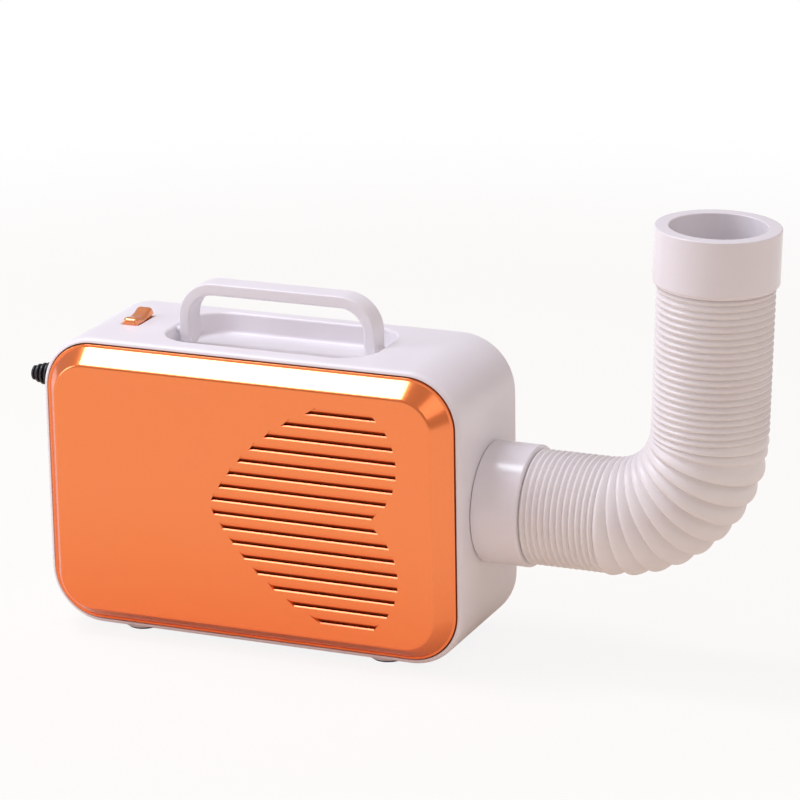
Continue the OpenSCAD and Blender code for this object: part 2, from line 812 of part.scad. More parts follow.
// Places a shape at each of the motor's three screws
module motor_screw_ring() {
    for (a = [90, 210, 330])
        translate([fan_x + screw_ring * cos(a), 0, fan_z + screw_ring * sin(a)]) children();
}

module impeller() {
    inner_r = fan_r - blade_r;
    color("gainsboro") translate([fan_x, fan_back_y, fan_z]) rotate([90, 0, 0]) difference() {
        union() {
            cylinder(r = fan_r, h = fan_plate);
            cylinder(r = hub_r, h = hub_l);
            translate([0, 0, fan_w - fan_plate]) difference() {
                cylinder(r = fan_r, h = fan_plate);
                translate([0, 0, -1]) cylinder(r = inner_r + 1, h = fan_plate + 2);
            }
            for (i = [0:blade_count - 1]) rotate([0, 0, 360 * i / blade_count])
                translate([inner_r, 0, fan_plate - eps]) linear_extrude(fan_w - 2 * fan_plate + 2 * eps)
                    intersection() {
                        translate([0, blade_r]) difference() {
                            circle(blade_r);
                            circle(blade_r - blade_t);
                        }
                        square([blade_r - 0.5, blade_r]);
                    }
        }
        translate([0, 0, -1]) cylinder(r = shaft_r, h = fan_w);
    }
}

module motor_shaft() {
    l = can_y + motor_l + 2 - fan_back_y + hub_l;
    color("silver") bar_y(fan_x, fan_back_y - hub_l, fan_z, shaft_r, l);
}

module armature() {
    y = can_y + bush_l + 2;
    l = motor_l - 2 * bush_l - 6;
    poles = 12;
    pole_w = 3.2;
    pole_r = motor_in_r - magnet_t - 1.5;
    color("peru") difference() {
        union() {
            for (i = [0:poles - 1]) translate([fan_x, y, fan_z]) rotate([0, 360 * i / poles, 0])
                translate([-pole_w / 2, 0, 0]) cube([pole_w, l, pole_r]);
            bar_y(fan_x, y, fan_z, pole_r - pole_w, l);
        }
        bar_y(fan_x, y - 1, fan_z, shaft_r, l + 2);
    }
}

module motor_magnets() {
    y = can_y + bush_l;
    l = motor_l - 2 * bush_l - 2;
    r = motor_in_r;
    reach = 1.5 * r;
    color("darkslategray") for (s = [-1, 1]) intersection() {
        difference() {
            bar_y(fan_x, y, fan_z, r, l);
            bar_y(fan_x, y - 1, fan_z, r - magnet_t, l + 2);
        }
        translate([fan_x + s * r - reach / 2, y - 1, fan_z - r]) cube([reach, l + 2, 2 * r]);
    }
}

module motor_can() {
    color("silver") difference() {
        bar_y(fan_x, can_y, fan_z, motor_r, motor_l);
        bar_y(fan_x, can_y - 1, fan_z, motor_in_r, motor_l - motor_wall + 1);
        bar_y(fan_x, can_y, fan_z, motor_hole_r, motor_l + 1);
    }
}

module motor_cap() {
    color("gray") difference() {
        bar_y(fan_x, motor_y, fan_z, flange_r, motor_cap_t);
        bar_y(fan_x, motor_y - 1, fan_z, motor_hole_r, motor_cap_t + 2);
        motor_screw_ring() bar_y(0, motor_y - 1, 0, hole_r, motor_cap_t + 2);
    }
}

// A bush in each end of the motor, inside the cap and inside the can's closed end
module motor_bushes() {
    rear_y = can_y + motor_l - motor_wall - bush_l;
    color("goldenrod") for (y = [can_y, rear_y]) difference() {
        bar_y(fan_x, y, fan_z, bush_r, bush_l);
        bar_y(fan_x, y - 1, fan_z, shaft_r + run_fit, bush_l + 2);
    }
}

module motor_dampers() {
    color("dimgray") motor_screw_ring() difference() {
        bar_y(0, volute_back_y, 0, damper_r, damper_h);
        bar_y(0, volute_back_y - 1, 0, hole_r, damper_h + 2);
    }
}

module motor_screws() {
    color("silver") motor_screw_ring() translate([0, can_y, 0])
        rotate([-90, 0, 0]) pan_screw(motor_cap_t + damper_h + cover_t);
}

// ---- heater and outlet ------------------------------------------------------

// A loft from the scroll's square outlet to the heater's round tube
module duct_loft(grow, extra) {
    hull() {
        translate([duct_x - extra, scroll_front_y - grow, fan_z + scroll_top - outlet_h - grow])
            cube([0.5 + extra, scroll_depth + 2 * grow, outlet_h + 2 * grow]);
        bar_x(duct_x + duct_l - 1, hose_y, mid_z, tube_r + grow - duct_wall / 2, 1 + extra, $fn = 32);
    }
}

module air_duct() {
    collar_x = duct_x + duct_l;
    collar_l = 8;
    color("lightgray") {
        difference() {
            duct_loft(duct_wall, 0);
            duct_loft(0, 1);
        }
        difference() {
            bar_x(collar_x - eps, hose_y, mid_z, tube_r + duct_wall, collar_l);
            bar_x(collar_x - 1, hose_y, mid_z, tube_r + hold_fit, collar_l + 2);
        }
    }
}

module heater_tube() {
    l = tube_end_x - tube_start_x;
    color("silver") difference() {
        bar_x(tube_start_x, hose_y, mid_z, tube_r, l);
        bar_x(tube_start_x - 1, hose_y, mid_z, tube_r - tube_wall, l + 2);
    }
}

// Two crossed mica boards between two hoops that fit the tube
module heater_frame() {
    color("tan") {
        translate([frame_x, hose_y - mica_t / 2, mid_z - mica_r]) cube([frame_l, mica_t, 2 * mica_r]);
        translate([frame_x, hose_y - mica_r, mid_z - mica_t / 2]) cube([frame_l, 2 * mica_r, mica_t]);
        for (x = [frame_x, frame_x + frame_l - hoop_l]) difference() {
            bar_x(x, hose_y, mid_z, tube_r - tube_wall - hold_fit, hoop_l);
            bar_x(x - 1, hose_y, mid_z, mica_r - 1, hoop_l + 2);
        }
    }
}

module heater_coil() {
    x = frame_x + coil_margin;
    l = frame_l - 2 * coil_margin;
    steps = 12;
    n = coil_turns * steps;
    color("dimgray") solid_tube([for (i = [0:n]) let (a = 360 * i / steps)
        [[x + l * i / n, hose_y + coil_r * cos(a), mid_z + coil_r * sin(a)],
            unit([l / n, -coil_r * sin(a) * 2 * PI / steps, coil_r * cos(a) * 2 * PI / steps]),
            coil_wire_r]], 6, [1, 0, 0]);
}

module thermostat() {
    can = [6, 4];
    tip = [4, 6];
    color("silver") for (c = [can, tip]) bar_y(frame_x + 8, hose_y + mica_t / 2, mid_z + 8, c[0], c[1]);
}

module thermal_fuse() {
    color("white") bar_x(frame_x + 3, hose_y + mica_t / 2 + fuse_r, mid_z - 10, fuse_r, 14);
}

// The socket that the lower cuff turns in
module outlet_socket() {
    l = inner_x - socket_x;
    outer_r = spigot_r + socket_wall;
    color("whitesmoke") difference() {
        union() {
            bar_x(socket_x, hose_y, mid_z, outer_r, l);
            socket_ears(ear_x, ear_t, ear_r);
            translate([ear_x, hose_y + 1 - ear_r, mid_z - ear_z])
                cube([ear_t, 2 * ear_r - 2, 2 * ear_z]);
        }
        bar_x(socket_x + socket_web, hose_y, mid_z, spigot_r + run_fit, l);
        bar_x(socket_x - 1, hose_y, mid_z, tube_r + hold_fit, l + 2);
        socket_ears(ear_x - 1, ear_t + 2, hole_r);
    }
}

module socket_screws() {
    color("silver") for (s = [-1, 1]) translate([ear_x, hose_y, mid_z + s * ear_z])
        rotate([0, -90, 0]) pan_screw(2 * ear_t - 2 * eps);
}

// ---- electrical parts -------------------------------------------------------

module power_board() {
    color("darkgreen") difference() {
        translate([board_x - board_w / 2, board_y, board_z - board_h / 2])
            cube([board_w, board_t, board_h]);
        board_posts(hole_r, board_y - 1, board_t + 2);
    }
}

module board_screws() {
    color("silver") for (sx = [-1, 1], sz = [-1, 1])
        translate([board_x + sx * board_hole_x, board_y, board_z + sz * board_hole_z])
            rotate([90, 0, 0]) pan_screw(board_screw_l);
}

module relay() {
    color("royalblue") translate([board_x + relay_at[0], board_y - relay_size[1],
        board_z + relay_at[1]]) cube(relay_size);
}

module capacitor() {
    color("slategray") bar_y(board_x + capacitor_at[0], board_y - capacitor_l,
        board_z + capacitor_at[1], capacitor_r, capacitor_l);
}

module terminal_block() {
    color("seagreen") translate([board_x - terminal_w / 2, board_y - terminal_d, terminal_z])
        cube([terminal_w, terminal_d, terminal_h]);
}

module switch_lead() {
    tab_end = [rocker_x, rocker_y + tab_y, top_z - wall - switch_h - tab_l];
    color("black") lead(terminal - [lead_pitch, 0, 0], tab_end, [0, -lead_bow / 2, 0]);
}

module motor_lead() {
    can_back = [fan_x - motor_r / 2, can_y + motor_l + lead_r, fan_z];
    color("navy") lead(terminal + [lead_pitch, 0, 0], can_back, [0, lead_bow / 4, lead_bow]);
}

module heater_lead() {
    r = tube_r + 0.9 * lead_r;
    on_tube = [(tube_start_x + tube_end_x) / 2, hose_y + r * sin(heater_lead_a),
        mid_z + r * cos(heater_lead_a)];
    color("firebrick") lead(terminal, on_tube, [0, 0, 3 * lead_bow]);
}

// ---- hose -------------------------------------------------------------------

module hose_cuff() {
    color("white") difference() {
        union() {
            bar_x(side_x + slack, hose_y, mid_z, cuff_r, cuff_l - slack);
            bar_x(side_x - spigot_l, hose_y, mid_z, spigot_r, spigot_l + 1);
        }
        bar_x(side_x - spigot_l - 1, hose_y, mid_z, cuff_bore_r, spigot_l + cuff_l + 2);
    }
}

// Stations of a ribbed stretch, at steps t from 0 to 1 along its own line: out along the
// ribs, which rise from their roots to a narrow crest, and back along the plain bore
function rib_radius(k) = hose_r - (k % 2 == 0 ? rib_depth : 0);

module straight_hose(start, dir, l, ribs) {
    n = 2 * ribs;
    hollow_tube(concat(
        [for (k = [0:n]) [start + l * k / n * dir, dir, rib_radius(k)]],
        [[start + l * dir, dir, hose_bore_r], [start, dir, hose_bore_r]]), hose_sides, [0, 1, 0]);
}

module hose_lower() {
    color("white") straight_hose([cuff_end_x, hose_y, mid_z], [1, 0, 0], lower_l, lower_ribs);
}

function elbow_station(t, r) = let (a = elbow_turn * t)
    [[bend_x + elbow_r * sin(a), hose_y, mid_z + elbow_r * (1 - cos(a))], [cos(a), 0, sin(a)], r];

module hose_elbow() {
    crest = [0.2, 0.55];
    color("white") hollow_tube(concat(
        [elbow_station(0, rib_radius(0))],
        [for (i = [0:elbow_ribs - 1], s = [crest[0], crest[1], 1])
            elbow_station((i + s) / elbow_ribs, s == 1 ? rib_radius(0) : hose_r)],
        [for (i = [elbow_ribs:-1:0]) elbow_station(i / elbow_ribs, hose_bore_r)]),
        hose_sides, [0, 1, 0]);
}

module hose_upper() {
    color("white") straight_hose(elbow_end + hold_fit * hose_dir, hose_dir, upper_l - hold_fit,
        upper_ribs);
}

module nozzle_cuff() {
    chamfer = 2.5;
    color("white") translate(hose_top) rotate([0, 90 - elbow_turn, 0]) difference() {
        union() {
            cylinder(r1 = cuff_r - chamfer, r2 = cuff_r, h = chamfer);
            translate([0, 0, chamfer]) cylinder(r = cuff_r, h = nozzle_l - chamfer);
        }
        translate([0, 0, -1]) cylinder(r = cuff_bore_r, h = nozzle_l + 2);
    }
}

housing_shell();
foot_pads();
front_chassis();
chassis_screws();
front_panel();
panel_screws();
filter_frame();
filter_foam();
handle();
handle_pins();
rocker_cap();
rocker_axle();
switch_body();
cord_boot();
cord_clamp();
clamp_screws();
volute_front();
volute_rear();
volute_screws();
impeller();
motor_shaft();
armature();
motor_magnets();
motor_can();
motor_cap();
motor_bushes();
motor_dampers();
motor_screws();
air_duct();
heater_tube();
heater_frame();
heater_coil();
thermostat();
thermal_fuse();
outlet_socket();
socket_screws();
power_board();
board_screws();
relay();
capacitor();
terminal_block();
switch_lead();
motor_lead();
heater_lead();
hose_cuff();
hose_lower();
hose_elbow();
hose_upper();
nozzle_cuff();
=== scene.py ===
"""The looks of a pet dryer: a white blower with a copper-orange louvred front and a ribbed
hose that turns up to a round nozzle."""
import json
from math import acos, atan2, cos, degrees, pi, radians, sin, sqrt, tan

import bmesh
import bpy
from mathutils import Matrix, Vector
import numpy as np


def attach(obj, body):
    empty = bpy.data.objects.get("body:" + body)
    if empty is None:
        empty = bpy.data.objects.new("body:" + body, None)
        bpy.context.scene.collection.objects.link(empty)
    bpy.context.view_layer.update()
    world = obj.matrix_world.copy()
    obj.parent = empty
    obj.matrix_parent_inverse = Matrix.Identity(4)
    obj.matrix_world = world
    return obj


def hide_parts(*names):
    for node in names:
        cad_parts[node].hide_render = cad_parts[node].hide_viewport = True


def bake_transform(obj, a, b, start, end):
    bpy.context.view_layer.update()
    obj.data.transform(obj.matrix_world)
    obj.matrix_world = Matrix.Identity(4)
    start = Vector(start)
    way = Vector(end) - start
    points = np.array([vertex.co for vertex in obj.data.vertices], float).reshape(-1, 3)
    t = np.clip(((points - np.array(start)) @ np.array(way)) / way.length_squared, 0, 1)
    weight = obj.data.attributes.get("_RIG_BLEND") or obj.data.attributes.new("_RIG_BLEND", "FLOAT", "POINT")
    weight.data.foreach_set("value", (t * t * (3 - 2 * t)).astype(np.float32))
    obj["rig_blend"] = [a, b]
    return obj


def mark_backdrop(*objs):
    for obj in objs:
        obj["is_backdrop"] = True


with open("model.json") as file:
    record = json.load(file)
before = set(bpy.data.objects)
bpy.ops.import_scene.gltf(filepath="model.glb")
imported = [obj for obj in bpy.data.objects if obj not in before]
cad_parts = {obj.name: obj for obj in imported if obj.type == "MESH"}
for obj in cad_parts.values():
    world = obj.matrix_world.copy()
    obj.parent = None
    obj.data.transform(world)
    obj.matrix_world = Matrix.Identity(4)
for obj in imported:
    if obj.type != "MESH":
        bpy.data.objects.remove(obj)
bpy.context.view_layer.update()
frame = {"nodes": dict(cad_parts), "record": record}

# ---- sizes, in millimetres, in the frame that the solids share ----------------------------

MM = 0.001
BODY_W, BODY_H = 300, 200
CORNER_R = 37
WALL = 3.2
FRONT_Y, BACK_Y = -50, 50
SIDE_X = BODY_W / 2
FOOT_H = 4
MID_Z = FOOT_H + BODY_H / 2
TOP_Z = FOOT_H + BODY_H
INNER_BACK_Y = BACK_Y - WALL
CHASSIS_Y = -46
FOOT_X, FOOT_Y, FOOT_R, PAD_R = 90, 32, 13, 11

# Inner posts: (radius, the Y that they reach), and where they stand about the middle
CHASSIS_POST, BOARD_POST = (5, -43), (2.8, 37.8)
BOARD_X, BOARD_Z, BOARD_HOLE_X, BOARD_HOLE_Z = -100, 82, 27, 35
PANEL_POST_R, PANEL_POST_X, PANEL_POST_Z = 4, 127.1, 55

PANEL_W, PANEL_H, PANEL_R = 292, 192, 33
FACE_Y = -64
BEVEL_W = 11
PANEL_T = 2.4

SLOT_COUNT, SLOT_PITCH, SLOT_H = 16, 9.5, 4
# The roll above a slot starts this far over it, and goes (inwards, down)
ROLL_RISE, ROLL = 0.8, [(0, 0), (0.11, 1.04), (0.43, 2.03), (0.95, 2.94), (1.53, 3.6)]
LOBE_R, LOBE_X, LOBE_Z = 43.95, 67, 38.09
FLANK_R, FLANK_X, FLANK_Z = 156.755, 116.81, 71.0525
GRILLE_LEFT, GRILLE_RIGHT, GRILLE_H = -28.9, 116.95, 158.5

WELL_X, WELL_Y, WELL_L, WELL_W, WELL_R, WELL_DEPTH = 2, 2, 152, 74, 25, 14.5
HANDLE_W, HANDLE_RISE, HANDLE_R = 142, 36, 25
STRAP_W, STRAP_T, STRAP_SWELL = 17, 7, 1.4
STRAP_OUTER_ROUND, STRAP_INNER_ROUND = 1.2, 2.2
PIVOT_Z = TOP_Z - 3.6

ROCKER_X, ROCKER_Y, ROCKER_PIVOT_Z = -103.5, 2, 198.6
ROCKER_L, ROCKER_W, ROCKER_GAP, ROCKER_TILT = 26, 10.5, 0.9, 6
ROCKER_CROWN = TOP_Z - ROCKER_PIVOT_Z + 6.0
ROCKER_DISH, ROCKER_SKIRT = 2.6, 5.4
ROCKER_END_ROUND, ROCKER_SIDE_ROUND = 4.4, 2.2

BOOT_Y, BOOT_Z, BOOT_L = -5, MID_Z + 57, 31
BOOT_R, BOOT_TIP_R, BOOT_BORE_R, BOOT_RIB, BOOT_RIBS = 9, 5, 3.5, 2, 8
BOOT_GROOVE, BOOT_SEAT_R, BOOT_FLANGE_R = 2.1, 7.2, 10
CRADLE_X, CRADLE_HALF, CRADLE_DROP = (-146.9, -129.3), 13, 9

HOSE_Y = 5
CUFF_R, CUFF_BORE_R, CUFF_L, SPIGOT_R, SPIGOT_L = 40.4, 31.3, 32, 37, 18
SPIGOT_GAP = 0.3
HOSE_R, HOSE_WALL, RIB_DEPTH = 38, 1.0, 2.2
LOWER_L, LOWER_RIBS = 51, 12
ELBOW_R, ELBOW_TURN = 67, 88
# The elbow's ribs: opened ones over a share of its arc, then closed-up ones
OPENED_RIBS, SHUT_RIBS, OPENED_SHARE = 9, 2, 0.911
OPENED_SWELL, OPENED_GROOVE = 0.9, 2.9
UPPER_L, UPPER_RIBS = 97, 22
NOZZLE_L = 38
BEND_X = SIDE_X + CUFF_L + LOWER_L
HOSE_DIR = Vector((cos(radians(ELBOW_TURN)), 0, sin(radians(ELBOW_TURN))))
ELBOW_END = Vector((BEND_X + ELBOW_R * sin(radians(ELBOW_TURN)), HOSE_Y,
                    MID_Z + ELBOW_R * (1 - cos(radians(ELBOW_TURN)))))
HOSE_TOP = ELBOW_END + UPPER_L * HOSE_DIR


# ---- nodes, materials ---------------------------------------------------------------------

def node(tree, kind, values=None, **settings):
    """Adds a node with its settings. A value is a number, a colour, or a node to link from."""
    made = tree.nodes.new(kind)
    for name, setting in settings.items():
        setattr(made, name, setting)
    for key, value in (values or {}).items():
        if isinstance(value, bpy.types.Node):
            value = next(o for o in value.outputs if o.enabled)
        if isinstance(value, bpy.types.NodeSocket):
            tree.links.new(value, made.inputs[key])
        else:
            made.inputs[key].default_value = value
    return made


def linear(code):
    """A colour written as sRGB hex, as the linear values that a shader takes."""
    parts = [int(code[i:i + 2], 16) / 255 for i in (1, 3, 5)]
    return (*[c / 12.92 if c <= 0.04045 else ((c + 0.055) / 1.055) ** 2.4 for c in parts], 1)


def finish(name, colour, rough, metal=0.0, ior=1.5, shade=None, mottle_mm=40.0, mottle=0.03,
           grain_mm=1.2, grain=0.02, coat=0.0, stretch=(1, 1, 1), edge=None):
    """A Principled material: a slow mottle in its colour, and a fine grain in roughness and bump.
    The grain's size is in millimetres; stretch draws it out along an axis, as brushing does.
    An edge is the colour that a metal reflects at a grazing angle."""
    material = bpy.data.materials.new(name)
    material.use_nodes = True
    tree = material.node_tree
    shader = tree.nodes["Principled BSDF"]
    shader.inputs["Metallic"].default_value = metal
    if not metal:
        shader.inputs["IOR"].default_value = ior
    shader.inputs["Coat Weight"].default_value = coat
    shader.inputs["Coat Roughness"].default_value = 0.12
    if edge:
        shader.inputs["Specular Tint"].default_value = linear(edge)
    place = node(tree, "ShaderNodeTexCoord").outputs["Object"]
    drawn = node(tree, "ShaderNodeMapping", {"Vector": place, "Scale": stretch})
    slow = node(tree, "ShaderNodeTexNoise", {"Vector": place, "Scale": 1 / (mottle_mm * MM),
                "Detail": 3})
    fine = node(tree, "ShaderNodeTexNoise", {"Vector": drawn, "Scale": 1 / (grain_mm * MM),
                "Detail": 2})
    tone = node(tree, "ShaderNodeMapRange", {"Value": slow.outputs["Fac"], "From Min": 0.3,
                "From Max": 0.7})
    base = node(tree, "ShaderNodeMix", {0: tone, 6: linear(shade or colour), 7: linear(colour)},
                data_type="RGBA")
    speck = node(tree, "ShaderNodeMapRange", {"Value": fine.outputs["Fac"], "From Min": 0.3,
                 "From Max": 0.7, "To Min": 1 - mottle, "To Max": 1 + mottle})
    tinted = node(tree, "ShaderNodeVectorMath", {0: base.outputs[2], "Scale": speck},
                  operation="SCALE")
    tree.links.new(tinted.outputs[0], shader.inputs["Base Color"])
    gloss = node(tree, "ShaderNodeMapRange", {"Value": fine.outputs["Fac"], "From Min": 0.3,
                 "From Max": 0.7, "To Min": rough * 0.9, "To Max": min(1, rough * 1.1)})
    tree.links.new(gloss.outputs[0], shader.inputs["Roughness"])
    relief = node(tree, "ShaderNodeBump", {"Strength": 1.0, "Distance": grain * MM,
                  "Height": fine.outputs["Fac"]})
    tree.links.new(relief.outputs[0], shader.inputs["Normal"])
    return material


# ---- mesh tools ---------------------------------------------------------------------------

def mesh_object(name, points, faces):
    """A mesh object from points in millimetres, its faces turned outwards."""
    mesh = bpy.data.meshes.new(name)
    mesh.from_pydata([Vector(p) * MM for p in points], [], faces)
    work = bmesh.new()
    work.from_mesh(mesh)
    bmesh.ops.remove_doubles(work, verts=work.verts, dist=1e-7)
    bmesh.ops.recalc_face_normals(work, faces=work.faces)
    work.to_mesh(mesh)
    work.free()
    made = bpy.data.objects.new(name, mesh)
    bpy.context.scene.collection.objects.link(made)
    return made


def loft(name, rings, ring_closed=False):
    """A closed skin through rings of points. Its ends are capped, or its last ring joins its
    first."""
    n = len(rings[0])
    last = len(rings) if ring_closed else len(rings) - 1
    faces = []
    for i in range(last):
        a, b = i * n, (i + 1) % len(rings) * n
        faces += [(a + k, a + (k + 1) % n, b + (k + 1) % n, b + k) for k in range(n)]
    if not ring_closed:
        faces += [tuple(range(n)), tuple(range(last * n, (last + 1) * n))]
    return mesh_object(name, [p for r in rings for p in r], faces)


def rounded_rect(w, h, r, steps=14):
    """Points round a rectangle with round corners, about its middle."""
    points = []
    for quarter, (sx, sy) in enumerate(((1, 1), (-1, 1), (-1, -1), (1, -1))):
        for i in range(steps + 1):
            a = radians(90 * (quarter + i / steps))
            points.append((sx * (w / 2 - r) + r * cos(a), sy * (h / 2 - r) + r * sin(a)))
    return points


def arc(cx, cy, rx, ry, start, end, steps=6):
    """Points of an ellipse's arc, its angles in degrees."""
    turn = [radians(start + (end - start) * i / steps) for i in range(steps + 1)]
    return [(cx + rx * cos(a), cy + ry * sin(a)) for a in turn]


def lathe(name, profile, origin, axis, sides=96):
    """A closed profile of (distance along the axis, radius) turned about an axis."""
    along = Vector(axis).normalized()
    side = along.cross(Vector((0, 1, 0))).normalized()
    up = along.cross(side)
    rings = []
    for k in range(sides):
        a = 2 * pi * k / sides
        out = side * cos(a) + up * sin(a)
        rings.append([Vector(origin) + along * t + out * r for t, r in profile])
    return loft(name, rings, ring_closed=True)


def disc(name, profile, origin, axis, sides=96):
    """A solid of revolution: its profile starts and ends on the axis."""
    along = Vector(axis).normalized()
    side = along.cross(Vector((0.1, 1, 0.2))).normalized()
    up = along.cross(side)
    origin = Vector(origin)
    inner = [(t, r) for t, r in profile if r > 0]
    turns = [2 * pi * k / sides for k in range(sides)]
    rings = [[origin + along * t + (side * cos(a) + up * sin(a)) * r for a in turns]
             for t, r in inner]
    return loft(name, rings)


def bake(piece):
    """Turns a piece and its modifiers into a plain mesh."""
    bpy.context.view_layer.update()
    grown = piece.evaluated_get(bpy.context.evaluated_depsgraph_get())
    solid = bpy.data.meshes.new_from_object(grown)
    piece.modifiers.clear()
    piece.data = solid
    return piece


def carve(piece, tool, operation="DIFFERENCE"):
    """Cuts a tool out of a piece, or joins it on, and drops the tool."""
    boolean = piece.modifiers.new("carve", "BOOLEAN")
    boolean.object = tool
    boolean.operation = operation
    boolean.solver = "EXACT"
    bake(piece)
    bpy.data.objects.remove(tool)
    return piece


def join(piece, other):
    """Adds another mesh to a piece as a loose part."""
    work = bmesh.new()
    work.from_mesh(piece.data)
    work.from_mesh(other.data)
    work.to_mesh(piece.data)
    work.free()
    bpy.data.objects.remove(other)
    return piece


def smooth(piece, sharp=32):
    """Smooth shading that keeps flat faces flat and edges past an angle sharp."""
    piece.data.shade_smooth()
    piece.data.set_sharp_from_angle(angle=radians(sharp))
    weigh = piece.modifiers.new("weigh", "WEIGHTED_NORMAL")
    weigh.keep_sharp = True
    return bake(piece)


def set_inputs(modifier, tree, values):
    """Sets a tree's named inputs on its modifier, by their identifiers."""
    for item in tree.interface.items_tree:
        if item.in_out == "INPUT" and item.name in values:
            modifier[item.identifier] = values[item.name]


def coat_with(piece, material):
    piece.data.materials.clear()
    piece.data.materials.append(material)


def dress(piece, material, body, slot, *nodes):
    """Gives a finished piece its material, its body and the solids that it stands for."""
    coat_with(piece, material)
    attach(piece, body)
    if nodes:
        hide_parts(*nodes)
    return piece


def rim_rings(profile, w, h, r, middle, upright=True):
    """Rings of a rounded rectangle, one for each (inset, place) of the profile. Upright ones
    stand at Y = place, and the others lie at Z = place."""
    rings = []
    for inset, place in profile:
        outline = rounded_rect(w - 2 * inset, h - 2 * inset, max(0.05, r - inset))
        if upright:
            rings.append([(middle[0] + u, place, middle[1] + v) for u, v in outline])
        else:
            rings.append([(middle[0] + u, middle[1] + v, place) for u, v in outline])
    return rings


# ---- finishes -----------------------------------------------------------------------------

# ABS, injection moulded with a fine spark texture: a satin white with soft highlights
moulded_white_abs = finish("moulded_white_abs", "#F2F0F3", 0.36, shade="#EFECEF", ior=1.54,
                           mottle=0.006, grain_mm=0.9, grain=0.015)
# Metallic flake basecoat sprayed on ABS: copper orange, its gleam broken up by fine flakes
sprayed_copper_paint = finish("sprayed_copper_paint", "#FC8642", 0.24, metal=0.75, shade="#FB8644",
                              mottle=0.04, grain_mm=0.8, grain=0.008, coat=0.8, edge="#FFB48C")
# Vacuum-plated and lacquered ABS: a soft copper mirror under a clear skin
plated_copper = finish("plated_copper", "#FFA86E", 0.22, metal=0.7, shade="#FF9E64", mottle=0.01,
                       grain_mm=0.8, grain=0.004, coat=0.5)
# Polypropylene cuffs, moulded in a polished tool: glossier than the housing
polished_white_pp = finish("polished_white_pp", "#F3F0F3", 0.22, shade="#F0EDF0", ior=1.49,
                           mottle=0.004, grain_mm=3.0, grain=0.01)
# Polyethylene hose, blow moulded: waxy white, a little uneven along its ribs
blown_white_pe = finish("blown_white_pe", "#F3F0EF", 0.34, shade="#EFEBEA", ior=1.51, mottle=0.01,
                        grain_mm=1.5, grain=0.02)
# Chlorinated rubber strain relief, compression moulded: soft black with a grey bloom
moulded_black_rubber = finish("moulded_black_rubber", "#2C2A2C", 0.38, shade="#393638", mottle=0.08,
                              grain_mm=0.8, grain=0.03)

